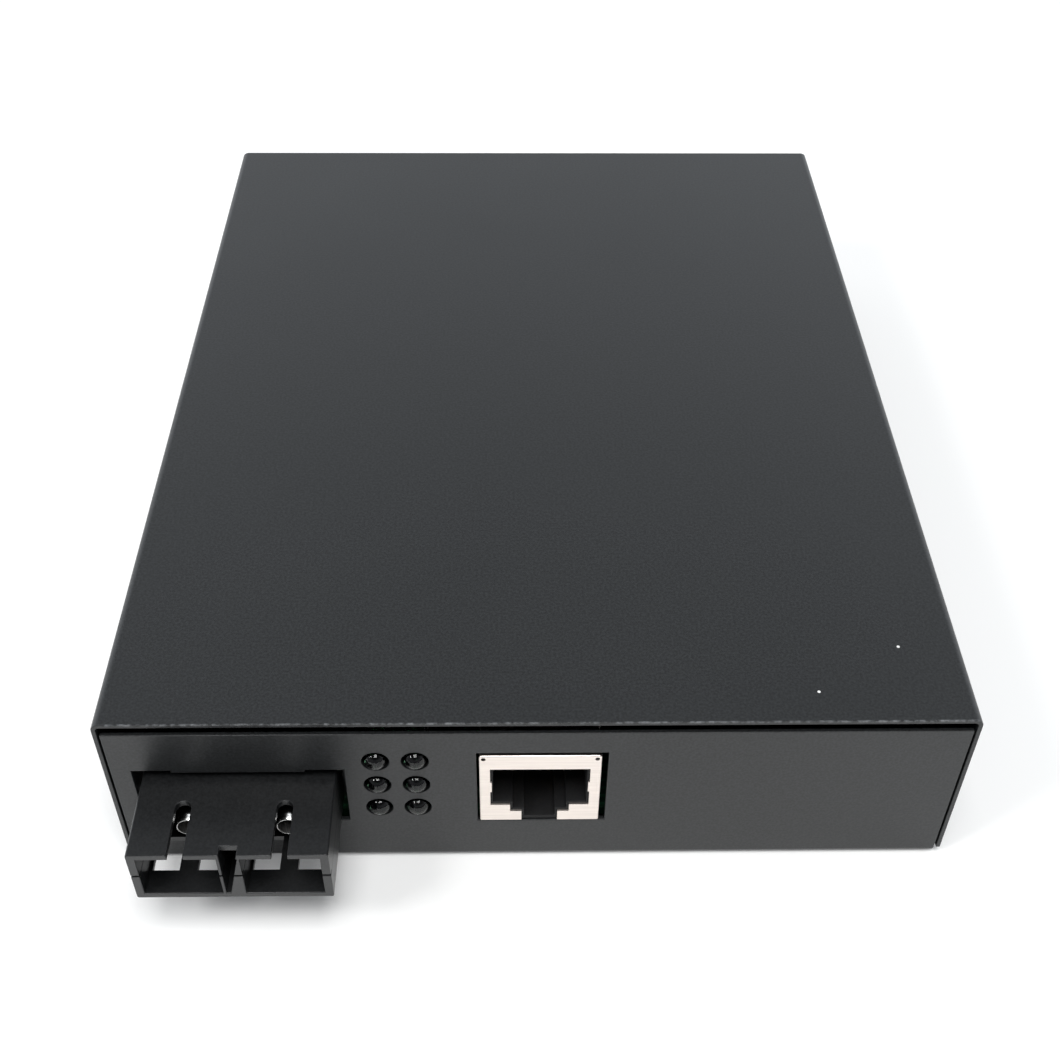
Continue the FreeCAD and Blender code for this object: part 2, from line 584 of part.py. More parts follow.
def top_cover():
    """The cover: top and two sides folded from one sheet, with cooling slots and screw holes in the sides."""
    cover = body()
    half = "case_width / 2"
    inner = f"({half} - sheet_wall)"
    under = "(case_height - sheet_wall)"
    folded = [(f"-{half}", "skirt_lift"), (f"-{inner}", "skirt_lift"), (f"-{inner}", under), (inner, under),
              (inner, "skirt_lift"), (half, "skirt_lift"), (half, "case_height"), (f"-{half}", "case_height")]
    flat = prism(cover, "XZ", ("-case_length / 2", "case_length / 2"), [folded])
    side, top, wall = size("case_width") / 2, size("case_height"), size("sheet_wall")
    outside = edges_along(flat, "Y", lambda p: near(abs(p.x), side) and near(p.z, top))
    bent = rounded(cover, flat, outside, "bend_radius + sheet_wall")
    inside = edges_along(bent, "Y", lambda p: near(abs(p.x), side - wall) and near(p.z, top - wall))
    rounded(cover, bent, inside, "bend_radius")
    across = (f"-({half} + sheet_wall)", f"({half} + sheet_wall)")
    slots = []
    for place in range(int(size("vent_count"))):
        middle = f"(({place} - (vent_count - 1) / 2) * vent_pitch)"
        slots.append(rectangle(around(middle, "vent_width"), around("vent_middle", "vent_height")))
    prism(cover, "YZ", across, slots, hollow=True)
    fixing = "(screw_radius + screw_play)"
    holes = [(f"{sign}cover_screw_span / 2", "cover_screw_height", fixing) for sign in ("", "-")]
    prism(cover, "YZ", across, circles=holes, hollow=True)
    return piece(cover, "top_cover")


def cover_screws():
    """Four screws that hold the cover to the tray's flanges."""
    screws = []
    for sign in ("-", ""):
        for side, down in (("-", False), ("", True)):
            place = (f"{side}case_width / 2", f"{sign}cover_screw_span / 2", "cover_screw_height")
            screws.append(screw(*place, "X", down, "(2 * sheet_wall + cover_gap + sheet_wall)"))
    return piece(group(screws), "cover_screws")


# Boards and what holds them

def locking_post(x, y):
    """A nylon post that stands on the floor, with a flat barbed tongue through a board's hole."""
    post = body()
    foot = rectangle(around(x, "post_width"), around(y, "post_width"))
    prism(post, "XY", ("sheet_wall", BOARD_UNDER), [foot])
    left, right = around(x, "tongue_width")
    barb_left, barb_right = around(x, "barb_width")
    neck = f"({BOARD_TOP} + fit_gap)"
    tip = f"({neck} + barb_height)"
    tongue = [(left, BOARD_UNDER), (right, BOARD_UNDER), (right, neck), (barb_right, neck), (right, tip),
              (left, tip), (barb_left, neck), (left, neck)]
    prism(post, "XZ", around(y, "tongue_thickness"), [tongue])
    return post


def main_fixings():
    """Fixing points of the main board."""
    rear = f"({MAIN_REAR} - hole_inset)"
    right = f"({MAIN_RIGHT} - hole_inset)"
    return [(f"({MAIN_LEFT} + hole_inset)", rear), (right, rear), (right, f"({MAIN_FRONT} + hole_inset)"),
            (f"({OPTIC_MIDDLE} + module_width / 2 + inner_hole_side)", f"({MAIN_FRONT} + inner_hole_back)")]


def power_fixings():
    """Fixing points of the power board."""
    return [(x, y) for x in (f"({POWER_LEFT} + hole_inset)", f"({POWER_RIGHT} - hole_inset)")
            for y in (f"({POWER_FRONT} + hole_inset)", f"({POWER_REAR} - hole_inset)")]


def held_board(name, across, along, fixings):
    """A circuit board with its fixing holes, on its locking posts."""
    board = body()
    holes = [(x, y, "post_hole_radius") for x, y in fixings]
    prism(board, "XY", (BOARD_UNDER, BOARD_TOP), [rectangle(across, along)], holes)
    piece(board, f"{name}_board")
    piece(group([locking_post(x, y) for x, y in fixings]), f"{name}_posts")


def boards():
    """Both circuit boards, and the sheet that keeps the power board's solder side off the floor."""
    held_board("main", (MAIN_LEFT, MAIN_RIGHT), (MAIN_FRONT, MAIN_REAR), main_fixings())
    held_board("power", (POWER_LEFT, POWER_RIGHT), (POWER_FRONT, POWER_REAR), power_fixings())
    insulator = body()
    sheet_outline = rectangle((f"{POWER_LEFT} - insulator_margin", f"{POWER_RIGHT} + insulator_margin"),
                              (f"{POWER_FRONT} - insulator_margin", f"{POWER_REAR} + insulator_margin"))
    clear = "post_width + insulator_margin"
    openings = [rectangle(around(x, clear), around(y, clear)) for x, y in power_fixings()]
    prism(insulator, "XY", ("sheet_wall", "sheet_wall + insulator_thickness"), [sheet_outline] + openings)
    piece(insulator, "insulating_sheet")


# Duplex optical port

def nose_shell(upper):
    """One half of the optical nose: upper with its key slots, or lower with its latch windows."""
    shell = body()
    low, high = (PARTING, NOSE_TOP) if upper else (NOSE_UNDER, PARTING)
    across = around(OPTIC_MIDDLE, f"2 * {NOSE_HALF}")
    solid = prism(shell, "XY", (low, high), [rectangle(across, (NOSE_FRONT, NOSE_REAR))])
    extent = solid.Shape.BoundBox
    outer = extent.ZMax if upper else extent.ZMin
    rounded(shell, solid, edges_along(solid, "Y", lambda p: near(p.z, outer)), "nose_round")
    floor = f"({NOSE_UNDER} + nose_roof)"
    port_span = (PARTING, f"{NOSE_TOP} - nose_roof") if upper else (floor, PARTING)
    deep = (NOSE_FRONT, PORT_BACK)
    ports = [rectangle(around(x, "port_width"), deep) for x in PORTS.values()]
    prism(shell, "XY", port_span, ports, hollow=True)
    left = f"({PORTS['transmit']} + port_width / 2 + notch_wall)"
    notch = [(left, floor), (f"{left} + notch_foot", floor), (f"{left} + notch_top", NOSE_TOP),
             (left, NOSE_TOP)]
    prism(shell, "XZ", (NOSE_FRONT, f"{NOSE_FRONT} + notch_depth"), [notch], hollow=True)
    ceiling = f"({NOSE_TOP} - nose_roof)"
    core = [(left, floor), (f"{left} + notch_foot", floor), (f"{left} + notch_top", ceiling), (left, ceiling)]
    prism(shell, "XZ", (NOSE_FRONT, f"{NOSE_FRONT} + core_depth"), [core], hollow=True)
    if upper:
        end = f"({NOSE_FRONT} + keyway_length - keyway_width / 2)"
        keys = [rectangle(around(x, "keyway_width"), (NOSE_FRONT, end)) for x in PORTS.values()]
        prism(shell, "XY", (PARTING, NOSE_TOP), keys, hollow=True)
        round_ends = [(x, end, "keyway_width / 2") for x in PORTS.values()]
        prism(shell, "XY", (PARTING, NOSE_TOP), circles=round_ends, hollow=True)
        groove = (f"{across[0]} - fit_gap", f"{across[1]} + fit_gap")
        seam = rectangle(groove, (NOSE_FRONT, f"{NOSE_FRONT} + parting_depth"))
        prism(shell, "XY", (PARTING, f"{PARTING} + parting_height"), [seam], hollow=True)
    else:
        start = f"({NOSE_FRONT} + window_setback)"
        windows = []
        for x in PORTS.values():
            for side in ("-", "+"):
                sides = (f"({x} {side} window_strip / 2)", f"({x} {side} (port_width / 2 - clip_hook / 2))")
                windows.append(rectangle(sides, (start, f"{start} + window_length")))
        prism(shell, "XY", (NOSE_UNDER, f"{NOSE_UNDER} + nose_roof"), windows, hollow=True)
    seats = [(x, PARTING, "barrel_seat_radius + fit_gap / 2") for x in PORTS.values()]
    prism(shell, "XZ", (PORT_BACK, NOSE_REAR), circles=seats, hollow=True)
    return piece(shell, "optical_upper_shell" if upper else "optical_lower_shell")


def optics(name, x):
    """A port's tapered steel barrel with its can, the ceramic sleeve inside and the latch clip round it."""
    mouth = "(ferrule_radius + ferrule_lead)"
    shoulder = f"({BARREL_FRONT} + barrel_taper)"
    taper = doc.addObject("Part::Cone", "Taper")
    bind(taper, Radius1=f"{mouth} + barrel_lip", Radius2="barrel_radius", Height="barrel_taper")
    placed(taper, x, BARREL_FRONT, PARTING, "Y")
    tube = rod("barrel_radius", f"{PORT_BACK} - {shoulder}", x, shoulder, PARTING, "Y")
    collar = rod("barrel_seat_radius", "nose_back_wall", x, PORT_BACK, PARTING, "Y")
    can = rod("can_radius", "can_length", x, NOSE_REAR, PARTING, "Y")
    start = f"({BARREL_FRONT} + sleeve_setback)"
    entry = rod(mouth, "sleeve_setback", x, BARREL_FRONT, PARTING, "Y")
    bore = rod(BARREL_BORE, "sleeve_length", x, start, PARTING, "Y")
    piece(cut(fuse(taper, tube, collar, can), entry, bore), f"{name}_barrel")
    sleeve = rod(BARREL_BORE, "sleeve_length", x, start, PARTING, "Y")
    hole = rod("ferrule_radius", "sleeve_length", x, start, PARTING, "Y")
    piece(cut(sleeve, hole), f"{name}_sleeve")
    latch_clip(name, x)


def latch_clip(name, x):
    """A plate against the port's back wall with two hooked arms that hold a connector."""
    clip = body()
    plate = f"({PORT_BACK} - clip_plate)"
    tips = f"({plate} - clip_reach)"
    hook_end = f"({tips} + clip_hook_length)"
    outer = "(port_width / 2 - fit_gap)"
    inner = f"({outer} - clip_arm)"
    hook = f"({inner} - clip_hook)"
    half = [(outer, PORT_BACK), (outer, tips), (inner, tips), (hook, hook_end), (inner, hook_end),
            (inner, plate)]
    corners = [(f"{x} + {across}", along) for across, along in half]
    corners += [(f"{x} - {across}", along) for across, along in half[::-1]]
    prism(clip, "XY", around(PARTING, "clip_height"), [corners])
    hole = (x, PARTING, "barrel_radius + fit_gap")
    prism(clip, "XZ", (f"{plate} - fit_gap", PORT_BACK), circles=[hole], hollow=True)
    piece(clip, f"{name}_latch")


def optical_module():
    """The module behind the panel: a plastic case open to the nose, its own board and a row of pins."""
    case = body()
    across = around(OPTIC_MIDDLE, "module_width")
    top = f"({BOARD_TOP} + module_height)"
    prism(case, "XY", (BOARD_TOP, top), [rectangle(across, (NOSE_REAR, MODULE_REAR))])
    inside = (f"{across[0]} + module_wall", f"{across[1]} - module_wall")
    hollow = rectangle(inside, (NOSE_REAR, f"{MODULE_REAR} - module_wall"))
    prism(case, "XY", (BOARD_TOP, f"{top} - module_wall"), [hollow], hollow=True)
    piece(case, "module_case")
    under = f"({BOARD_TOP} + module_board_lift)"
    front = f"({NOSE_REAR} + can_length + module_wall)"
    inner = (f"({inside[0]} + fit_gap)", f"({inside[1]} - fit_gap)")
    rear = f"({MODULE_REAR} - module_wall - fit_gap)"
    piece(box(inner, (front, rear), (under, f"({under} + module_board_thickness)")), "module_board")
    row = range(int(size("module_pin_count")))
    along = around(f"({MODULE_REAR} - module_pin_inset)", "module_pin")
    places = [f"({OPTIC_MIDDLE} + ({i} - (module_pin_count - 1) / 2) * module_pin_pitch)" for i in row]
    pins = [box(around(x, "module_pin"), along, (BOARD_TOP, under)) for x in places]
    piece(group(pins), "module_pins")


# Lamps

def lamp_places():
    """Name, place across, height and row of each lamp."""
    places = []
    for row, level in enumerate(("lower", "middle", "upper")):
        height = f"({BOARD_TOP} + lamp_rise + {row} * lamp_row_pitch)"
        for side, sign in (("left", "-"), ("right", "+")):
            across = f"({LAMP_MIDDLE} {sign} lamp_column_pitch / 2)"
            places.append((f"lamp_{level}_{side}", across, height, row))
    return places


def lamps():
    """Six domed lamps on their bent leads, which stand on the main board."""
    leads = []
    for name, x, z, row in lamp_places():
        shaft = rod("lamp_radius", "lamp_length - lamp_radius", x, f"{LAMP_TIP} + lamp_radius", z, "Y")
        rim = rod("lamp_flange_radius", "lamp_flange_length", x, f"{LAMP_RIM} - lamp_flange_length", z, "Y")
        dome = doc.addObject("Part::Sphere", "Dome")
        bind(dome, Radius="lamp_radius")
        placed(dome, x, f"{LAMP_TIP} + lamp_radius", z)
        piece(fuse(shaft, rim, dome), name)
        down = f"({LAMP_RIM} + lamp_lead_step * ({row} + 1))"
        inner, outer = around(down, "lamp_lead")
        low, high = around(z, "lamp_lead")
        bent = [(LAMP_RIM, high), (outer, high), (outer, BOARD_TOP), (inner, BOARD_TOP), (inner, low),
                (LAMP_RIM, low)]
        for place in around(x, "lamp_lead_pitch"):
            lead = body()
            prism(lead, "YZ", around(place, "lamp_lead"), [bent])
            leads.append(lead)
    piece(group(leads), "lamp_leads")


# Network jack

def mouth_outline(inset, floor, tabs):
    """Outline of the jack's opening with its stepped latch slot, drawn in by an inset."""
    slot, step, wide = (f"({width} / 2 - {inset})" for width in ("slot_width", "step_width", "mouth_width"))
    low = f"({STEP_UNDER} + {inset})"
    shoulder = f"({MOUTH_UNDER} + {inset})"
    roof = f"({MOUTH_TOP} - {inset})"
    half = [(slot, floor), (slot, low), (step, low), (step, shoulder), (wide, shoulder)]
    if tabs:
        middle = f"(({MOUTH_TOP} + {MOUTH_UNDER}) / 2)"
        tab_low, tab_high = around(middle, "mouth_tab_height")
        tip = f"({wide} - mouth_tab)"
        half += [(wide, tab_low), (tip, tab_low), (tip, tab_high), (wide, tab_high)]
    half.append((wide, roof))
    right = [(f"{JACK_MIDDLE} + {across}", up) for across, up in half]
    left = [(f"{JACK_MIDDLE} - {across}", up) for across, up in half[::-1]]
    return right + left


def network_jack():
    """Folded shield, the plastic socket inside it and its eight spring contacts."""
    shield = body()
    across = around(JACK_MIDDLE, "jack_width")
    solid = prism(shield, "XY", (BOARD_TOP, JACK_TOP), [rectangle(across, (JACK_FRONT, JACK_REAR))])
    top = solid.Shape.BoundBox.ZMax
    long_edges = edges_along(solid, "Y", lambda p: near(p.z, top))
    rounded(shield, solid, long_edges, "shield_round")
    inside = rectangle((f"{across[0]} + shield_wall", f"{across[1]} - shield_wall"),
                       (f"{JACK_FRONT} + shield_wall", f"{JACK_REAR} - shield_wall"))
    prism(shield, "XY", (BOARD_TOP, f"{JACK_TOP} - shield_wall"), [inside], hollow=True)
    mouth = mouth_outline("0", f"({BOARD_TOP} - fit_gap)", True)
    prism(shield, "XZ", (f"{JACK_FRONT} - fit_gap", f"{JACK_FRONT} + shield_wall"), [mouth], hollow=True)
    piece(shield, "jack_shield")

    housing = body()
    skin = "(shield_wall + fit_gap)"
    front = f"({JACK_FRONT} + shield_wall)"
    outline = rectangle((f"{across[0]} + {skin}", f"{across[1]} - {skin}"), (front, f"{JACK_REAR} - {skin}"))
    prism(housing, "XY", (BOARD_TOP, f"{JACK_TOP} - {skin}"), [outline])
    socket = mouth_outline("cavity_rim", f"({BOARD_TOP} + socket_floor)", False)
    prism(housing, "XZ", (front, f"{JACK_FRONT} + cavity_depth"), [socket], hollow=True)
    piece(housing, "jack_housing")

    start = f"({JACK_FRONT} + contact_setback)"
    tip = f"({start} + contact_length)"
    under = f"({SOCKET_ROOF} - contact_width)"
    low = f"({SOCKET_ROOF} - contact_drop)"
    bent = [(start, SOCKET_ROOF), (f"{start} + contact_stub", SOCKET_ROOF), (tip, f"{low} + contact_width"),
            (tip, low), (f"{start} + contact_stub", under), (start, under)]
    contacts = []
    for place in range(int(size("contact_count"))):
        middle = f"({JACK_MIDDLE} + ({place} - (contact_count - 1) / 2) * contact_pitch)"
        contact = body()
        prism(contact, "YZ", around(middle, "contact_width"), [bent])
        contacts.append(contact)
    piece(group(contacts), "jack_contacts")


# Main board's parts

def lead_row(x, y, reach_from, sign, count, pitch, along_y):
    """A row of chip leads: a folded strip cut into separate leads. reach_from is half the chip's width."""
    row = body()
    row.AllowCompound = True
    centre = x if along_y else y
    spread = f"(({count} - 1) * {pitch} + chip_lead_width)"
    root = f"({centre} {sign} {reach_from})"
    knee = f"({centre} {sign} ({reach_from} + chip_lead_reach / 2))"
    heel = f"({centre} {sign} ({reach_from} + chip_lead_reach / 2 - lead_sheet))"
    toe = f"({centre} {sign} ({reach_from} + chip_lead_reach))"
    shoulder = f"({BOARD_TOP} + chip_height / 2)"
    flat = f"({BOARD_TOP} + lead_sheet)"
    folded = [(root, shoulder), (knee, shoulder), (knee, flat), (toe, flat), (toe, BOARD_TOP),
              (heel, BOARD_TOP), (heel, f"{shoulder} - lead_sheet"), (root, f"{shoulder} - lead_sheet")]
    place = y if along_y else x
    prism(row, "XZ" if along_y else "YZ", around(place, spread), [folded])
    depth = (f"({centre} {sign} ({reach_from} - fit_gap))",
             f"({centre} {sign} ({reach_from} + 2 * chip_lead_reach))")
    gaps = []
    for gap in range(int(size(count)) - 1):
        middle = f"({place} + ({gap} - ({count} - 2) / 2) * {pitch})"
        length = around(middle, f"{pitch} - chip_lead_width")
        gaps.append(rectangle(depth, length) if along_y else rectangle(length, depth))
    prism(row, "XY", (BOARD_TOP, f"{BOARD_TOP} + chip_height"), gaps, hollow=True)
    return row


def flat_box(name, x, y, width, length, height):
    """A part with straight sides that sits on a board."""
    return piece(box(around(x, width), around(y, length), (BOARD_TOP, f"({BOARD_TOP} + {height})")), name)


def capacitor_can(x, y, radius, height):
    """An upright capacitor can."""
    return rod(radius, height, x, y, BOARD_TOP)


def main_parts():
    """Chip, line transformer, crystal, capacitors and regulator on the main board."""
    x, y = f"({MAIN_LEFT} + chip_right)", f"({MAIN_FRONT} + chip_back)"
    flat_box("converter_chip", x, y, "chip_size", "chip_size", "chip_height")
    rows = []
    for along_y in (True, False):
        for sign in ("-", "+"):
            rows.append(lead_row(x, y, "chip_size / 2", sign, "chip_lead_count", "chip_lead_pitch", along_y))
    piece(group(rows), "chip_leads")
    x, y = JACK_MIDDLE, f"({JACK_REAR} + magnetics_gap + magnetics_length / 2)"
    flat_box("line_transformer", x, y, "magnetics_width", "magnetics_length", "magnetics_height")
    rows = []
    for sign in ("-", "+"):
        rows.append(lead_row(x, y, "magnetics_length / 2", sign, "magnetics_lead_count",
                             "magnetics_lead_pitch", False))
    piece(group(rows), "line_transformer_leads")
    crystal = body()
    x, y = f"({MAIN_LEFT} + crystal_right)", f"({MAIN_REAR} - crystal_inset)"
    outline = rectangle(around(x, "crystal_length"), around(y, "crystal_width"))
    solid = prism(crystal, "XY", (BOARD_TOP, f"{BOARD_TOP} + crystal_height"), [outline])
    rounded(crystal, solid, edges_along(solid, "Z", lambda p: True), "crystal_width / 2 - fit_gap")
    piece(crystal, "crystal_can")
    cans = []
    y = f"({MAIN_FRONT} + small_can_back)"
    for place in range(int(size("small_can_count"))):
        x = f"({MAIN_LEFT} + small_can_right + {place} * small_can_pitch)"
        cans.append(capacitor_can(x, y, "small_can_radius", "small_can_height"))
    piece(group(cans), "filter_capacitors")
    x, y = f"({MAIN_LEFT} + regulator_right)", f"({MAIN_REAR} - regulator_inset)"
    flat_box("regulator", x, y, "regulator_width", "regulator_length", "regulator_height")


# Power board's parts

def low_end(along, back):
    """A place on the power board from its low-voltage end and its front edge."""
    return f"({POWER_LEFT} + {along})", f"({POWER_FRONT} + {back})"


def mains_end(along, back):
    """A place on the power board from its mains end and its front edge."""
    return f"({POWER_RIGHT} - {along})", f"({POWER_FRONT} + {back})"


def power_parts():
    """Transformer, capacitors, rectifier, fuse, choke and switching chip on the power board."""
    x, y = low_end("core_along", "power_width / 2")
    top = f"({BOARD_TOP} + core_height)"
    core = body()
    across = around(y, "core_width")
    prism(core, "YZ", around(x, "core_length"), [rectangle(across, (BOARD_TOP, top))])
    window = (f"({across[0]} + core_leg)", f"({across[1]} - core_leg)")
    winding_low, winding_high = f"({BOARD_TOP} + core_leg)", f"({top} - core_leg)"
    prism(core, "YZ", around(x, "core_length"), [rectangle(window, (winding_low, winding_high))], hollow=True)
    piece(core, "transformer_core")
    coil = body()
    wound = rectangle(around(x, "winding_length"), around(y, "winding_width"))
    solid = prism(coil, "XY", (winding_low, winding_high), [wound])
    rounded(coil, solid, edges_along(solid, "Z", lambda p: True), "core_leg / 2")
    piece(coil, "transformer_winding")
    x, y = low_end("bulk_can_along", "bulk_can_back")
    piece(capacitor_can(x, y, "bulk_can_radius", "bulk_can_height"), "bulk_capacitor")
    cans = []
    for sign in ("-", "+"):
        x, y = low_end("output_can_along", f"power_width / 2 {sign} output_can_span / 2")
        cans.append(capacitor_can(x, y, "output_can_radius", "output_can_height"))
    piece(group(cans), "output_capacitors")
    x, y = low_end("switch_along", "switch_back")
    flat_box("power_chip", x, y, "switch_length", "switch_width", "switch_height")
    boxed = (("bridge_rectifier", "bridge"), ("noise_capacitor", "safety_can"), ("noise_choke", "choke"))
    for name, part in boxed:
        x, y = mains_end(f"{part}_inset", f"{part}_back")
        flat_box(name, x, y, f"{part}_length", f"{part}_width", f"{part}_height")
    x, y = mains_end("(fuse_inset + fuse_length / 2)", "fuse_back")
    piece(rod("fuse_radius", "fuse_length", x, y, f"{BOARD_TOP} + fuse_radius", "X"), "power_fuse")


# Mains inlet

def inlet_outline(grown):
    """Outline of the mains inlet's body, with its two lower corners cut off, grown outward."""
    half = f"(inlet_body_width / 2 + {grown})"
    low, high = around("inlet_height", f"inlet_body_height + 2 * {grown}")
    corner = "inlet_corner"
    return [(f"{INLET_MIDDLE} - {half}", high), (f"{INLET_MIDDLE} + {half}", high),
            (f"{INLET_MIDDLE} + {half}", f"{low} + {corner}"), (f"{INLET_MIDDLE} + {half} - {corner}", low),
            (f"{INLET_MIDDLE} - {half} + {corner}", low), (f"{INLET_MIDDLE} - {half}", f"{low} + {corner}")]


def blade_places():
    """Middle of the line, neutral and earth blades."""
    line, neutral = around(INLET_MIDDLE, "blade_span")
    low, high = around("inlet_height", "2 * blade_offset")
    return [(line, high), (neutral, high), (INLET_MIDDLE, low)]


def mains_inlet():
    """Flanged socket in the rear panel, its blades bent down to the power board, and its two screws."""
    housing = body()
    prism(housing, "XZ", (INLET_BACK, REAR), [inlet_outline("0")])
    flange = rectangle(around(INLET_MIDDLE, "inlet_flange_width"),
                       around("inlet_height", "inlet_flange_height"))
    fixings = around(INLET_MIDDLE, "inlet_screw_span")
    holes = [(x, "inlet_height", "screw_radius + screw_play") for x in fixings]
    prism(housing, "XZ", (REAR, INLET_FACE), [flange], holes)
    back = f"({INLET_FACE} - inlet_socket_depth)"
    prism(housing, "XZ", (back, INLET_FACE), [inlet_outline("(-inlet_wall)")], hollow=True)
    slots = [rectangle(around(x, "blade_width + fit_gap"), around(z, "blade_height + fit_gap"))
             for x, z in blade_places()]
    prism(housing, "XZ", (INLET_BACK, back), slots, hollow=True)
    piece(housing, "inlet_housing")
    tip = f"({back} + blade_length)"
    tag_end = f"({INLET_BACK} - tag_length)"
    leg = f"({tag_end} + blade_leg)"
    blades = []
    for x, z in blade_places():
        low, high = around(z, "blade_height")
        bent = [(tip, high), (tag_end, high), (tag_end, BOARD_TOP), (leg, BOARD_TOP), (leg, low), (tip, low)]
        blade = body()
        prism(blade, "YZ", around(x, "blade_width"), [bent])
        blades.append(blade)
    piece(group(blades), "inlet_blades")
    piece(group([screw(x, INLET_FACE, "inlet_height", "Y") for x in fixings]), "inlet_screws")


# Wiring

def point(*expressions):
    """A point whose coordinates are worked out from the sheet."""
    probe = doc.addObject("App::FeaturePython", "Probe")
    values = []
    for number, expression in enumerate(expressions):
        name = f"Value{number}"
        probe.addProperty("App::PropertyFloat", name)
        probe.setExpression(name, cells(expression))
    doc.recompute()
    for number in range(len(expressions)):
        values.append(getattr(probe, f"Value{number}"))
    doc.removeObject(probe.Name)
    return Vector(*values)


def bent_path(points, bend):
    """Straight runs through the points, with a tangent arc at every inner point."""
    runs = []
    start = points[0]
    for before, corner, after in zip(points, points[1:], points[2:]):
        into = (corner - before).normalize()
        out = (after - corner).normalize()
        turn = into.getAngle(out)
        trim = bend * math.tan(turn / 2)
        arc_start = corner - into * trim
        arc_end = corner + out * trim
        inward = (out - into).normalize()
        middle = corner + inward * (bend / math.cos(turn / 2) - bend)
        runs.append(Part.makeLine(start, arc_start))
        runs.append(Part.Arc(arc_start, middle, arc_end).toShape())
        start = arc_end
    runs.append(Part.makeLine(start, points[-1]))
    return Part.Wire(runs)


def flat_section(points):
    """The outline of a flat two-core lead at its start, with its width square to its middle run."""
    run = points[2] - points[1]
    across = Vector(-run.y, run.x, 0).normalize()
    thin = Vector(run.x, run.y, 0).normalize() * size("wire_radius")
    wide = across * (size("dc_wire_pitch") / 2 + size("wire_radius"))
    start = points[0]
    corners = [start + wide + thin, start - wide + thin, start - wide - thin, start + wide - thin]
    return Part.makePolygon(corners + corners[:1])


def wiring():
    """Low-voltage headers and plugs on both boards, and the flat lead between them."""
    rise = (BOARD_TOP, f"({BOARD_TOP} + header_height)")
    cap = (rise[1], f"({rise[1]} + plug_height)")
    main_place = (f"({MAIN_LEFT} + main_header_right)", f"({MAIN_REAR} - main_header_inset)")
    power_place = low_end("power_header_along", "power_width / 2")
    for name, span in (("wire_headers", rise), ("wire_plugs", cap)):
        blocks = [box(around(x, "dc_header_width"), around(y, "dc_header_length"), span)
                  for x, y in (main_place, power_place)]
        piece(group(blocks), name)
    high = f"({cap[1]} + dc_wire_rise)"
    route = [point(*power_place, cap[1]), point(*power_place, high), point(*main_place, high),
             point(*main_place, cap[1])]
    path = bent_path(route, size("dc_wire_bend"))
    section = flat_section(route)
    lead = doc.addObject("Part::Feature", "Lead")
    lead.Shape = path.makePipeShell([section], True, False)
    share = lead.Shape.Volume / (Part.Face(section).Area * path.Length)
    print(f"low-voltage lead: bends of {size('dc_wire_bend')} mm, {share:.3f} of section by length")
    piece(lead, "low_voltage_lead")


def build():
    """Makes every piece in turn."""
    fill_sheet()
    base_tray()
    top_cover()
    cover_screws()
    boards()
    nose_shell(True)
    nose_shell(False)
    for name, x in PORTS.items():
        optics(name, x)
    optical_module()
    lamps()
    network_jack()
    main_parts()
    power_parts()
    mains_inlet()
    wiring()
    doc.recompute()


def export():
    """Checks every object, then writes each piece to its own file."""
    for thing in doc.Objects:
        bad = [state for state in thing.State if state in ("Invalid", "Error")]
        assert not bad, (thing.Name, thing.Label, bad)
    os.makedirs("parts", exist_ok=True)
    for made in pieces:
        assert not made.Shape.isNull() and made.Shape.isValid(), made.Label
        made.Shape.exportStep(f"parts/{made.Label}.step")
    print(len(pieces), "pieces")


build()
export()
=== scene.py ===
"""Fibre optic media converter: finishes, edges, lamps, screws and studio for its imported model."""
import math

import bpy
from bpy.props import FloatProperty, FloatVectorProperty, IntProperty, PointerProperty
from bpy.types import Operator, Panel, PropertyGroup
from mathutils import Matrix, Vector


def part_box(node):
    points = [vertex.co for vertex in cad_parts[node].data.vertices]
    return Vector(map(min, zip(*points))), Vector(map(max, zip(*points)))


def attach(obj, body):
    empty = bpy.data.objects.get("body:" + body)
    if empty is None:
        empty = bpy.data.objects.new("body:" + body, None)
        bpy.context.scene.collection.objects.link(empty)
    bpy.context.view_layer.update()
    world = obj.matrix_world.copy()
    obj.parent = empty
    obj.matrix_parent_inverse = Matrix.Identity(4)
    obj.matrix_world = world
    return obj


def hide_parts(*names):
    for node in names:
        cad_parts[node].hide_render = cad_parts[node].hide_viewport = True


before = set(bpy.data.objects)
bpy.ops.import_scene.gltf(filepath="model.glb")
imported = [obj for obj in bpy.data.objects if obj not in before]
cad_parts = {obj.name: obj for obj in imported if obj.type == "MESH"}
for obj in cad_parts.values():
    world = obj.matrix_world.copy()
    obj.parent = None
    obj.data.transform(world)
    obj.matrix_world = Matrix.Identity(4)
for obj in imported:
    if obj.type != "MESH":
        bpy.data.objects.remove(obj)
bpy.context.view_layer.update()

bl_info = {
    "name": "Media converter",
    "version": (1, 0, 0),
    "blender": (4, 5, 0),
    "location": "3D View > Sidebar > Converter",
    "description": "Finishes a media converter: painted case, optical port, lamps, jack and inlet",
    "category": "Object",
}

MM = 0.001
WELD = 0.002 * MM
FLAT_ANGLE = math.radians(0.3)
SHARP_ANGLE = math.radians(35)
SMOOTH_ANGLE = math.radians(40)
# Least share of a face's normal along an axis for the face to count as facing that way
FACING = 0.9
# A colour Mix node's sockets: its share, its two colours and what comes out
SHARE, FIRST, SECOND, MIXED = 0, 6, 7, 2
_, COVER_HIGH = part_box("top_cover")
LAMPS = [f"lamp_{level}_{side}" for level in ("upper", "middle", "lower")
         for side in ("left", "right")]


def linear(code):
    """Linear red, green and blue of an sRGB hex colour."""
    parts = [int(code[i:i + 2], 16) / 255 for i in (1, 3, 5)]
    return tuple(c / 12.92 if c <= 0.04045 else ((c + 0.055) / 1.055) ** 2.4 for c in parts)


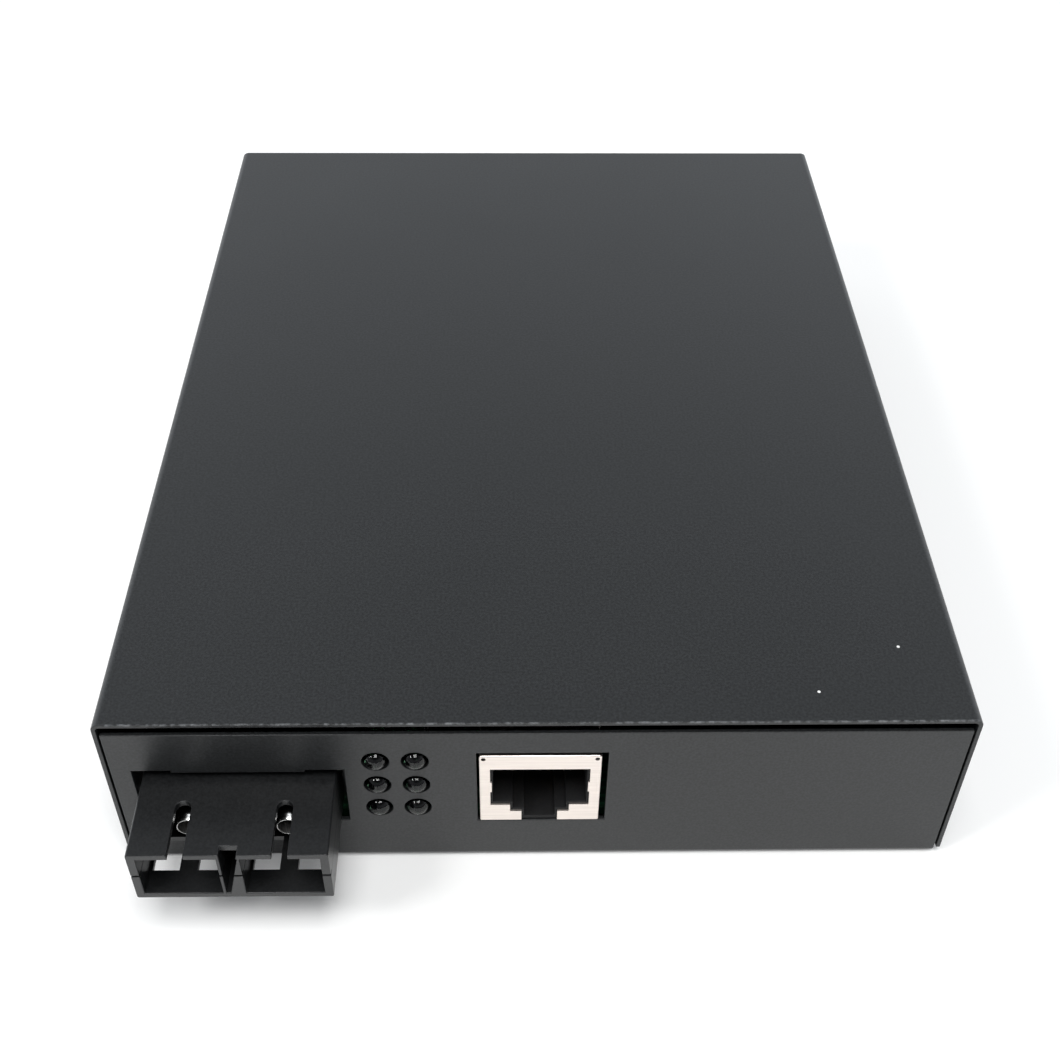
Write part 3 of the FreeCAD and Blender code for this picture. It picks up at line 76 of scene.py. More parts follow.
def colour(name, code, description):
    """A colour that a user may change."""
    return FloatVectorProperty(name=name, description=description, subtype="COLOR", size=3,
                               min=0, max=1, default=linear(code))


def length(name, millimetres, description):
    """A size that a user may change."""
    return FloatProperty(name=name, description=description, unit="LENGTH", min=0, precision=5,
                         default=millimetres * MM)


class CaseSettings(PropertyGroup):
    """Folded steel case."""
    paint_dark: colour("Dark paint", "#141516", "Powder coat between its grains")
    paint_light: colour("Light paint", "#242627", "Powder coat on its grains")
    # Pale band along the top of the cover's ends: partly worn paint, partly a painted highlight
    # line
    paint_worn_and_highlight: colour("Worn paint", "#66686a", "Powder coat where it thins on the cover's ends")
    dust: colour("Dust", "#f0f0ee", "Nibs of dust in the paint")
    grain: length("Grain", 0.34, "Powder coat's sandy grain")
    relief: length("Relief", 0.006, "Height of the powder coat's grain")
    cloud: length("Cloud", 26, "Patches where the powder coat is more and less glossy")
    chip: length("Chip", 0.7, "Chips along the worn edges")
    edge: length("Edge", 0.14, "Paint's rounding of cut sheet edges")
    screw_head: length("Screw head", 1.7, "Height of the pan heads")
    screw_shank: length("Screw shank", 1.5, "Radius of the screws' shanks")
    screw_length: length("Screw length", 3.4, "Length of the screws' shanks")
    screw_edge: length("Screw edge", 0.03, "Rounding of the screws' edges")
    screw_sides: IntProperty(name="Screw sides", description="Sides of each screw's round",
                             default=40, min=12)


class PortSettings(PropertyGroup):
    """Duplex optical port."""
    plastic_dark: colour("Dark plastic", "#0f1011", "Moulded nose, darker flow")
    plastic_light: colour("Light plastic", "#1c1d1e", "Moulded nose, lighter flow")
    edge: length("Edge", 0.12, "Rounding of the moulded edges")
    rim: length("Rim", 0.05, "Rounding of the barrels' mouths")
    bore: length("Bore", 1.45, "Radius of the barrels' mouths")
    # Barrel colours paint light: black bore and darkened shaft as painted shade, near-white mouth
    # as painted highlight
    bore_shade: colour("Bore black", "#0b0b0c", "Blackened inside of the barrels")
    lip: length("Lip", 1.62, "Radius out to which the barrels' mouths are polished")
    lip_highlight: colour("Lip bright", "#f6f6f4", "Polished mouths of the barrels")
    shaft_shade_dark: colour("Dark shaft", "#6c6d6e", "Barrels between their turning marks")
    shaft_shade_light: colour("Light shaft", "#858686", "Barrels on their turning marks")
    marks: length("Turning marks", 0.5, "Distance between the barrels' turning marks")


class LampSettings(PropertyGroup):
    """Indicator lamps."""
    epoxy: colour("Epoxy", "#4a6e56", "Clear lens with a green tint")
    sides: IntProperty(name="Sides", description="Sides of each lens's round", default=48, min=16)
    rings: IntProperty(name="Rings", description="Rings of each lens's dome", default=9, min=4)
    radius: length("Radius", 1.5, "Radius of each lens before its rim")
    rim: length("Rim", 1.0, "Length of the rim behind each lens")
    post: length("Post", 0.5, "Lead frame inside a lens")
    cup: length("Cup", 0.62, "Reflector cup's radius inside a lens")


class JackSettings(PropertyGroup):
    """Network jack."""
    plate: colour("Plate", "#f4eae2", "Nickel plate of the shield")
    plate_dull: colour("Dull plate", "#ece2da", "Nickel plate between its brush marks")
    relief: length("Corner relief", 0.3, "Radius of the bend reliefs at the shield's upper corners")
    bend: length("Bend", 0.2, "Radius of the bends round the shield's front")
    socket: length("Socket edge", 0.08, "Rounding of the plastic socket's edges")


class InletSettings(PropertyGroup):
    """Mains inlet."""
    plastic: colour("Plastic", "#1a1b1c", "Moulded flange and socket")
    corner: length("Corner", 0.5, "Rounding of the flange")
    blade: length("Blade", 0.3, "Rounding of the blades")


class StageSettings(PropertyGroup):
    """Floor, light and camera."""
    floor: colour("Floor", "#f4f4f3", "Matt white floor")
    lift: FloatProperty(name="Floor lift", default=0.1, min=0, max=1,
                        description="White added to the floor as the camera sees it")
    wall: FloatProperty(name="Wall", default=1.15, min=0,
                        description="Strength of the wall behind the object, low down")
    ceiling: FloatProperty(name="Ceiling", default=0.36, min=0,
                           description="Strength of that wall's upper end and the ceiling")
    near_side: FloatProperty(name="Near side", default=0.3, min=0, max=1,
                             description="Share of that strength on the camera's side")
    flanks: FloatProperty(name="Flanks", default=1.25, min=0,
                          description="Strength of the walls at the sides against the middle")
    side_lamp: FloatProperty(name="Side lamp", unit="POWER", default=4.5, min=0,
                             description="Power of the lamp at the front left")
    front_lamp: FloatProperty(name="Front lamp", unit="POWER", default=10.0, min=0,
                              description="Power of the lamp above the camera")
    side_spread: length("Side lamp size", 280, "Width and depth of the lamp at the front left")
    front_spread: length("Front lamp size", 600, "Width and depth of the lamp above the camera")
    wall_tint: colour("Wall tint", "#f4f9ff", "Cool white of the wall and ceiling")
    lens: FloatProperty(name="Lens", unit="CAMERA", default=48.142, min=1,
                        description="Camera's focal length on a 36 mm frame")


class ConverterSettings(PropertyGroup):
    """Everything that a user may change."""
    case: PointerProperty(type=CaseSettings)
    port: PointerProperty(type=PortSettings)
    lamp: PointerProperty(type=LampSettings)
    jack: PointerProperty(type=JackSettings)
    inlet: PointerProperty(type=InletSettings)
    stage: PointerProperty(type=StageSettings)


# Finishes

# Grains to a patch of more or less gloss
PATCH = 25


def add(tree, kind, values=None, links=None):
    """Adds a node with its settings, and links other nodes' outputs to its inputs."""
    node = tree.nodes.new(kind)
    for name, value in (values or {}).items():
        if isinstance(name, int) or name in node.inputs:
            node.inputs[name].default_value = value
        else:
            setattr(node, name, value)
    for name, socket in (links or {}).items():
        tree.links.new(socket, node.inputs[name])
    return node


def blank(name):
    """A new material, its empty node tree and its place on the piece."""
    material = bpy.data.materials.new(name)
    material.use_nodes = True
    tree = material.node_tree
    tree.nodes.clear()
    return material, tree, add(tree, "ShaderNodeTexCoord").outputs["Object"]


def grained(name, dark, light, grain, roughness, relief=0.0, spread=0.06, stretch=(1, 1, 1),
            **surface):
    """A finish whose colour, gloss and relief follow a grain of a given size and stretch."""
    material, tree, place = blank(name)
    turned = add(tree, "ShaderNodeMapping", {"Scale": stretch}, {"Vector": place})
    # Grain under 0.2 mm doesn't show, so finer surfaces are drawn with coarser grain than theirs
    grit = add(tree, "ShaderNodeTexNoise", {"Scale": 1 / grain, "Detail": 3.0},
               {"Vector": turned.outputs["Vector"]})
    cloud = add(tree, "ShaderNodeTexNoise", {"Scale": 1 / (PATCH * grain)}, {"Vector": place})
    share = add(tree, "ShaderNodeMapRange", {"From Min": 0.35, "From Max": 0.65},
                {"Value": grit.outputs["Fac"]})
    tone = add(tree, "ShaderNodeMix",
               {"data_type": "RGBA", FIRST: (*dark, 1), SECOND: (*light, 1)},
               {SHARE: share.outputs["Result"]})
    gloss = add(tree, "ShaderNodeMapRange",
                {"To Min": roughness - spread, "To Max": roughness + spread},
                {"Value": cloud.outputs["Fac"]})
    links = {"Base Color": tone.outputs[MIXED], "Roughness": gloss.outputs["Result"]}
    if relief:
        raised = add(tree, "ShaderNodeBump", {"Distance": relief}, {"Height": grit.outputs["Fac"]})
        links["Normal"] = raised.outputs["Normal"]
    shader = add(tree, "ShaderNodeBsdfPrincipled", surface, links)
    add(tree, "ShaderNodeOutputMaterial", links={"Surface": shader.outputs["BSDF"]})
    return material


# How far in from the cover's ends, and down from its top, the paint begins to pale and is palest: a
# band of worn paint that also stands in as a painted highlight along the top end edges
PALE_EDGE_IN = (0.26 * MM, 0.14 * MM)
PALE_EDGE_DOWN = (0.3 * MM, 0.08 * MM)
# Two pale nibs of dust in the paint of the cover's top, in millimetres from the case's middle,
# and the radii at which a nib fades out and is full
DUST = ((35.2, -66.2), (46.7, -58.7))
NIB_OUT, NIB_FULL = 0.24 * MM, 0.15 * MM


def powder_coat(case):
    """Polyester powder coat on steel: a satin, sandy skin, paler along the top of the cover's end
    edges, where worn paint and a painted highlight line are drawn.
    """
    material, tree, place = blank("powder_coated_steel")
    grit = add(tree, "ShaderNodeTexNoise", {"Scale": 1 / case.grain, "Detail": 2.0},
               {"Vector": place})
    cloud = add(tree, "ShaderNodeTexNoise", {"Scale": 1 / case.cloud}, {"Vector": place})
    share = add(tree, "ShaderNodeMapRange", {"From Min": 0.36, "From Max": 0.66},
                {"Value": grit.outputs["Fac"]})
    tone = add(tree, "ShaderNodeMix",
               {"data_type": "RGBA", FIRST: (*case.paint_dark, 1), SECOND: (*case.paint_light, 1)},
               {SHARE: share.outputs["Result"]})
    axes = add(tree, "ShaderNodeSeparateXYZ", links={"Vector": place})
    reach = add(tree, "ShaderNodeMath", {"operation": "ABSOLUTE"}, {0: axes.outputs["Y"]})
    near_end = add(tree, "ShaderNodeMapRange",
                   {"From Min": COVER_HIGH.y - PALE_EDGE_IN[0], "From Max": COVER_HIGH.y - PALE_EDGE_IN[1]},
                   {"Value": reach.outputs["Value"]})
    near_top = add(tree, "ShaderNodeMapRange",
                   {"From Min": COVER_HIGH.z - PALE_EDGE_DOWN[0],
                    "From Max": COVER_HIGH.z - PALE_EDGE_DOWN[1]},
                   {"Value": axes.outputs["Z"]})
    # Breaks the pale band into dots: chipped paint and a dotted painted highlight
    chips = add(tree, "ShaderNodeTexNoise", {"Scale": 1 / case.chip, "Detail": 4.0},
                {"Vector": place})
    chipped = add(tree, "ShaderNodeMapRange", {"From Min": 0.42, "From Max": 0.68},
                  {"Value": chips.outputs["Fac"]})
    edge = add(tree, "ShaderNodeMath", {"operation": "MULTIPLY"},
               {0: near_end.outputs["Result"], 1: near_top.outputs["Result"]})
    # Where the pale band shows: worn paint and painted highlight along the top end edges
    worn_and_highlit = add(tree, "ShaderNodeMath", {"operation": "MULTIPLY"},
               {0: edge.outputs["Value"], 1: chipped.outputs["Result"]})
    shown = add(tree, "ShaderNodeMix", {"data_type": "RGBA", SECOND: (*case.paint_worn_and_highlight, 1)},
                {SHARE: worn_and_highlit.outputs["Value"], FIRST: tone.outputs[MIXED]})
    for x, y in DUST:
        away = add(tree, "ShaderNodeVectorMath",
                   {"operation": "DISTANCE", 1: (x * MM, y * MM, COVER_HIGH.z)}, {0: place})
        nib = add(tree, "ShaderNodeMapRange", {"From Min": NIB_OUT, "From Max": NIB_FULL},
                  {"Value": away.outputs["Value"]})
        shown = add(tree, "ShaderNodeMix", {"data_type": "RGBA", SECOND: (*case.dust, 1)},
                    {SHARE: nib.outputs["Result"], FIRST: shown.outputs[MIXED]})
    gloss = add(tree, "ShaderNodeMapRange", {"To Min": 0.36, "To Max": 0.44},
                {"Value": cloud.outputs["Fac"]})
    raised = add(tree, "ShaderNodeBump", {"Distance": case.relief}, {"Height": grit.outputs["Fac"]})
    shader = add(tree, "ShaderNodeBsdfPrincipled", {"IOR": 1.5},
                 {"Base Color": shown.outputs[MIXED], "Roughness": gloss.outputs["Result"],
                  "Normal": raised.outputs["Normal"]})
    add(tree, "ShaderNodeOutputMaterial", links={"Surface": shader.outputs["BSDF"]})
    return material


# How far inside and outside the bore's edge its painted black shade fades, and the lip's painted
# highlight beyond its own radius
BORE_INSIDE, BORE_OUTSIDE, LIP_FADE = 0.01 * MM, 0.03 * MM, 0.08 * MM
# Turning marks are long round a barrel and fine along it
MARK_STRETCH = (0.15, 6, 0.15)


def turned_steel(port):
    """Turned stainless steel: a polished mouth painted near white as a highlight, a shaft whose
    grey is darkened as painted shade, and a bore painted black as shade.
    """
    material, tree, place = blank("turned_stainless_steel")
    low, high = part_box("transmit_barrel")
    far_low, far_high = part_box("receive_barrel")
    middle = (low.x + far_high.x) / 2
    half_pitch = (far_low.x - low.x) / 2
    height = (low.z + high.z) / 2
    # Distance from the axis of whichever barrel is nearer
    axes = add(tree, "ShaderNodeSeparateXYZ", links={"Vector": place})
    from_middle = add(tree, "ShaderNodeMath", {"operation": "SUBTRACT", 1: middle},
                      {0: axes.outputs["X"]})
    mirrored = add(tree, "ShaderNodeMath", {"operation": "ABSOLUTE"},
                   {0: from_middle.outputs["Value"]})
    across = add(tree, "ShaderNodeMath", {"operation": "SUBTRACT", 1: half_pitch},
                 {0: mirrored.outputs["Value"]})
    above = add(tree, "ShaderNodeMath", {"operation": "SUBTRACT", 1: height},
                {0: axes.outputs["Z"]})
    spoke = add(tree, "ShaderNodeCombineXYZ",
                links={"X": across.outputs["Value"], "Y": above.outputs["Value"]})
    away = add(tree, "ShaderNodeVectorMath", {"operation": "LENGTH"}, {0: spoke.outputs["Vector"]})
    outside = add(tree, "ShaderNodeMapRange",
                  {"From Min": port.bore - BORE_INSIDE, "From Max": port.bore + BORE_OUTSIDE},
                  {"Value": away.outputs["Value"]})
    turned = add(tree, "ShaderNodeMapping", {"Scale": MARK_STRETCH}, {"Vector": place})
    # The lathe's marks are finer than this; drawn this far apart so that they show
    marks = add(tree, "ShaderNodeTexNoise", {"Scale": 1 / port.marks, "Detail": 3.0},
                {"Vector": turned.outputs["Vector"]})
    grey = add(tree, "ShaderNodeMix",
               {"data_type": "RGBA", FIRST: (*port.shaft_shade_dark, 1), SECOND: (*port.shaft_shade_light, 1)},
               {SHARE: marks.outputs["Fac"]})
    shaft = add(tree, "ShaderNodeMapRange",
                {"From Min": port.lip, "From Max": port.lip + LIP_FADE},
                {"Value": away.outputs["Value"]})
    # Near-white mouth is a painted highlight; the shaft's darkened greys are painted shade
    steel = add(tree, "ShaderNodeMix", {"data_type": "RGBA", FIRST: (*port.lip_highlight, 1)},
                {SHARE: shaft.outputs["Result"], SECOND: grey.outputs[MIXED]})
    # The bore's black is painted shade
    tone = add(tree, "ShaderNodeMix", {"data_type": "RGBA", FIRST: (*port.bore_shade, 1)},
               {SHARE: outside.outputs["Result"], SECOND: steel.outputs[MIXED]})
    gloss = add(tree, "ShaderNodeMapRange", {"To Min": 0.7, "To Max": 0.22},
                {"Value": outside.outputs["Result"]})
    shader = add(tree, "ShaderNodeBsdfPrincipled", {"Metallic": 1.0},
                 {"Base Color": tone.outputs[MIXED], "Roughness": gloss.outputs["Result"]})
    add(tree, "ShaderNodeOutputMaterial", links={"Surface": shader.outputs["BSDF"]})
    return material


def solder_mask():
    """Green solder mask on a glass-fibre board: glossy, with copper tracks paler through it."""
    material, tree, place = blank("solder_mask_on_glass_fibre")
    pitch, thread, copper = 2.54 * MM, 0.5 * MM, 0.02 * MM
    tracks = add(tree, "ShaderNodeTexBrick",
                 {"Scale": 1 / pitch, "Color1": (*linear("#0a2415"), 1),
                  "Color2": (*linear("#0c2717"), 1), "Mortar": (*linear("#15402a"), 1),
                  "Mortar Size": 0.08, "Brick Width": 3.0, "Row Height": 0.5},
                 {"Vector": place})
    weave = add(tree, "ShaderNodeTexNoise", {"Scale": 1 / thread}, {"Vector": place})
    gloss = add(tree, "ShaderNodeMapRange", {"To Min": 0.25, "To Max": 0.4},
                {"Value": weave.outputs["Fac"]})
    raised = add(tree, "ShaderNodeBump", {"Distance": copper}, {"Height": tracks.outputs["Fac"]})
    shader = add(tree, "ShaderNodeBsdfPrincipled", {"IOR": 1.5},
                 {"Base Color": tracks.outputs["Color"], "Roughness": gloss.outputs["Result"],
                  "Normal": raised.outputs["Normal"]})
    add(tree, "ShaderNodeOutputMaterial", links={"Surface": shader.outputs["BSDF"]})
    return material


# Modelling

def only(piece):
    """Makes a piece the one selected and active object."""
    bpy.ops.object.select_all(action="DESELECT")
    piece.select_set(True)
    bpy.context.view_layer.objects.active = piece


def new_piece(name):
    """Names the primitive that was just added."""
    piece = bpy.context.view_layer.objects.active
    piece.name = name
    piece.data.name = name
    return piece


def pick_faces(piece, chosen):
    """Opens a piece in edit mode with only faces selected whose middle and normal are chosen."""
    bpy.ops.object.mode_set(mode="EDIT")
    bpy.ops.mesh.select_mode(type="FACE")
    bpy.ops.mesh.select_all(action="DESELECT")
    bpy.ops.object.mode_set(mode="OBJECT")
    for face in piece.data.polygons:
        face.select = chosen(face.center, face.normal)
    bpy.ops.object.mode_set(mode="EDIT")


def pick_edges(piece, chosen):
    """Opens a piece in edit mode with only sharp edges selected whose two ends are chosen."""
    only(piece)
    bpy.ops.object.mode_set(mode="EDIT")
    bpy.ops.mesh.select_mode(type="EDGE")
    bpy.ops.mesh.select_all(action="DESELECT")
    bpy.ops.mesh.edges_select_sharp(sharpness=SHARP_ANGLE)
    bpy.ops.object.mode_set(mode="OBJECT")
    points = piece.data.vertices
    picked = [edge.index for edge in piece.data.edges
              if edge.select and chosen(*(points[i].co for i in edge.vertices))]
    bpy.ops.object.mode_set(mode="EDIT")
    bpy.ops.mesh.select_all(action="DESELECT")
    bpy.ops.object.mode_set(mode="OBJECT")
    for i in picked:
        piece.data.edges[i].select = True
    bpy.ops.object.mode_set(mode="EDIT")


def grow(rise, across=1.0, centre=(0, 0, 0)):
    """Extrudes the selected cap by a vector and scales it about a point on the axis."""
    bpy.ops.mesh.extrude_region_move(TRANSFORM_OT_translate={"value": rise})
    bpy.ops.transform.resize(value=(across, across, across), center_override=centre)


def applied(piece, kind, **settings):
    """Puts a modifier on a piece and applies it."""
    only(piece)
    modifier = piece.modifiers.new(kind.title(), kind)
    for name, value in settings.items():
        setattr(modifier, name, value)
    bpy.ops.object.modifier_apply(modifier=modifier.name)


def shade(piece):
    """Shades a piece so that its rounded edges run smoothly into faces that stay flat."""
    only(piece)
    bpy.ops.object.shade_smooth_by_angle(angle=SMOOTH_ANGLE)
    applied(piece, "WEIGHTED_NORMAL", keep_sharp=True, use_face_influence=True)


def soften(piece, edge):
    """Rounds all of a piece's sharp edges."""
    applied(piece, "BEVEL", width=edge, segments=2, limit_method="ANGLE", angle_limit=SHARP_ANGLE,
            use_clamp_overlap=False, miter_outer="MITER_ARC", loop_slide=False,
            face_strength_mode="FSTR_ALL")
    shade(piece)


def soften_outside(piece, edge):
    """Rounds the sharp edges in a piece's outermost planes, where hands and light reach them."""
    places = [[vertex.co[k] for vertex in piece.data.vertices] for k in range(3)]
    planes = [(k, limit(values)) for k, values in enumerate(places) for limit in (min, max)]
    pick_edges(piece, lambda a, b: any(abs(a[k] - at) < WELD and abs(b[k] - at) < WELD
                                       for k, at in planes))
    bpy.ops.mesh.bevel(offset=edge, segments=2, loop_slide=False, clamp_overlap=False,
                       miter_outer="ARC", face_strength_mode="ALL")
    bpy.ops.mesh.select_all(action="SELECT")
    bpy.ops.mesh.dissolve_limited(angle_limit=FLAT_ANGLE)
    bpy.ops.object.mode_set(mode="OBJECT")
    shade(piece)


def cut_out(piece, cutter):
    """Takes a cutter's shape out of a piece and removes the cutter."""
    applied(piece, "BOOLEAN", operation="DIFFERENCE", solver="EXACT", object=cutter)
    bpy.data.objects.remove(cutter)


def face_outward(piece):
    """Welds a new piece's seams and turns all its faces outward."""
    only(piece)
    bpy.ops.object.mode_set(mode="EDIT")
    bpy.ops.mesh.select_all(action="SELECT")
    bpy.ops.mesh.remove_doubles(threshold=WELD)
    bpy.ops.mesh.normals_make_consistent(inside=False)
    bpy.ops.object.mode_set(mode="OBJECT")


def settle(piece, slot, finish, *nodes):
    """Gives a finished piece its finish and its body, and hides the solids that it stands for."""
    piece.data.materials.clear()
    piece.data.materials.append(finish)
    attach(piece, "root")
    if nodes:
        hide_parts(*nodes)


def shape_of(node, name):
    """A piece in the shape of a solid, with its loose triangles welded."""
    piece = bpy.data.objects.new(name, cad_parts[node].data.copy())
    bpy.context.scene.collection.objects.link(piece)
    only(piece)
    bpy.ops.object.mode_set(mode="EDIT")
    bpy.ops.mesh.select_all(action="SELECT")
    bpy.ops.mesh.customdata_custom_splitnormals_clear()
    bpy.ops.mesh.remove_doubles(threshold=WELD)
    bpy.ops.object.mode_set(mode="OBJECT")
    return piece


def dressed(node, name, slot, finish, edge, rounding=soften_outside):
    """Puts a solid's shape with softened edges and a finish in the solid's place."""
    piece = shape_of(node, name)
    rounding(piece, edge)
    settle(piece, slot, finish, node)


def coat(finish, *nodes):
    """Gives solids that stay as they are their finish."""
    for node in nodes:
        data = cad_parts[node].data
        data.materials.clear()
        data.materials.append(finish)


def copied(piece, name, matrix):
    """A copy of a piece with its own mesh, moved into place."""
    twin = piece.copy()
    twin.data = piece.data.copy()
    twin.name = name
    twin.data.name = name
    bpy.context.scene.collection.objects.link(twin)
    twin.matrix_world = matrix
    only(twin)
    bpy.ops.object.transform_apply(location=True, rotation=True, scale=True)
    return twin


class CONVERTER_OT_case(Operator):
    """Paint the cover and the tray and round their cut edges"""
    bl_idname = "converter.case"
    bl_label = "Painted case"

    def execute(self, context):
        case = context.scene.converter.case
        paint = powder_coat(case)
        dressed("top_cover", "painted_cover", "case_paint", paint, case.edge)
        dressed("base_tray", "painted_tray", "case_paint", paint, case.edge)
        return {"FINISHED"}


class CONVERTER_OT_screws(Operator):
    """Make the pan-head screws of the cover and of the mains inlet"""
    bl_idname = "converter.screws"
    bl_label = "Pan-head screws"

    # Pan head's profile: share of the head's radius, share of its height
    HEAD = ((1.0, 0.3), (0.97, 0.55), (0.87, 0.78), (0.68, 0.92), (0.4, 1.0))
    # Cross recess: an arm's length and width as shares of the head's diameter, the height of its
    # cutter as a share of the head's, and the share to which it narrows at its floor
    ARM_LENGTH, ARM_WIDTH, ARM_HEIGHT, ARM_TAPER = 0.58, 0.16, 1.3, 0.55

    def execute(self, context):
        case = context.scene.converter.case
        low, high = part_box("cover_screws")
        radius = (high.z - low.z) / 2
        # Black oxide on steel: a thin, dark, slightly brown skin with a dull metal sheen
        steel = grained("black_oxide_steel", linear("#161616"), linear("#2b2a29"),
                        grain=0.25 * MM, roughness=0.38, relief=0.003 * MM, Metallic=0.85)
        pattern = self.pan_screw(case, radius)
        height = (low.z + high.z) / 2
        seats = []
        for side in (-1, 1):
            turn = Matrix.Rotation(side * math.pi / 2, 4, "Y")
            x = side * (high.x - case.screw_head)
            for y in (low.y + radius, high.y - radius):
                seats.append(Matrix.Translation((x, y, height)) @ turn)
        self.set_of(pattern, "cover_screw_set", seats, steel, "cover_screws")
        low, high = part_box("inlet_screws")
        turn = Matrix.Rotation(-math.pi / 2, 4, "X")
        height = (low.z + high.z) / 2
        seats = [Matrix.Translation((x, high.y - case.screw_head, height)) @ turn
                 for x in (low.x + radius, high.x - radius)]
        self.set_of(pattern, "inlet_screw_set", seats, steel, "inlet_screws")
        bpy.data.objects.remove(pattern)
        return {"FINISHED"}

    def pan_screw(self, case, radius):
        """One screw along +Z, with the underside of its head at the origin."""
        bpy.ops.object.select_all(action="DESELECT")
        bpy.ops.mesh.primitive_circle_add(vertices=case.screw_sides, radius=case.screw_shank,
                                          fill_type="NGON", location=(0, 0, -case.screw_length))
        piece = new_piece("pan_screw")
        bpy.ops.object.transform_apply(location=True)
        bpy.ops.object.mode_set(mode="EDIT")
        grow((0, 0, case.screw_length))
        grow((0, 0, 0), radius / case.screw_shank)
        before = (1.0, 0.0)
        for across, up in self.HEAD:
            rise = (up - before[1]) * case.screw_head
            grow((0, 0, rise), across / before[0], (0, 0, up * case.screw_head))
            before = (across, up)
        bpy.ops.object.mode_set(mode="OBJECT")
        face_outward(piece)
        for turn in (0, math.pi / 2):
            bpy.ops.object.select_all(action="DESELECT")
            bpy.ops.mesh.primitive_cube_add(size=1, location=(0, 0, case.screw_head))
            arm = new_piece("recess_arm")
            arm.scale = (self.ARM_LENGTH * 2 * radius, self.ARM_WIDTH * 2 * radius,
                         self.ARM_HEIGHT * case.screw_head)
            arm.rotation_euler.z = turn
            bpy.ops.object.transform_apply(location=True, rotation=True, scale=True)
            pick_faces(arm, lambda middle, normal: normal.z < -FACING)
            bpy.ops.transform.resize(value=(self.ARM_TAPER, self.ARM_TAPER, 1),
                                     center_override=(0, 0, 0))
            bpy.ops.object.mode_set(mode="OBJECT")
            cut_out(piece, arm)
        soften(piece, case.screw_edge)
        return piece

    def set_of(self, pattern, name, seats, steel, node):
        """Copies of the screw in their seats, joined into one piece."""
        copies = [copied(pattern, f"{name}_{i}", seat) for i, seat in enumerate(seats)]
        only(copies[0])
        for other in copies[1:]:
            other.select_set(True)
        bpy.ops.object.join()
        copies[0].name = name
        settle(copies[0], "black_screw", steel, node)


class CONVERTER_OT_optical_port(Operator):
    """Finish the duplex optical port: moulded nose, latches, steel barrels and ceramic sleeves"""
    bl_idname = "converter.optical_port"
    bl_label = "Optical port"

    def execute(self, context):
        port = context.scene.converter.port
        # Polyester from a polished mould: near black, with soft, even highlights
        plastic = grained("moulded_black_polyester", port.plastic_dark, port.plastic_light,
                          grain=0.3 * MM, roughness=0.34, relief=0.003 * MM, IOR=1.55)
        dressed("optical_upper_shell", "nose_upper", "port_plastic", plastic, port.edge)
        dressed("optical_lower_shell", "nose_lower", "port_plastic", plastic, port.edge)
        coat(plastic, "module_case")
        # Nylon from a plain mould: black, and duller than the nose round it
        arms = grained("moulded_latch_nylon", linear("#121213"), linear("#1d1e1f"),
                       grain=0.25 * MM, roughness=0.45, relief=0.002 * MM)
        steel = turned_steel(port)
        # Ground zirconia: dense, creamy white and glossy
        ceramic = grained("ground_zirconia", linear("#e4e0d5"), linear("#efece4"),
                          grain=0.2 * MM, roughness=0.22)
        for name in ("transmit", "receive"):
            dressed(f"{name}_latch", f"{name}_latch_arms", "latch_plastic", arms, port.rim, soften)
            dressed(f"{name}_barrel", f"{name}_barrel_tube", "port_steel", steel, port.rim)
            coat(ceramic, f"{name}_sleeve")
        return {"FINISHED"}


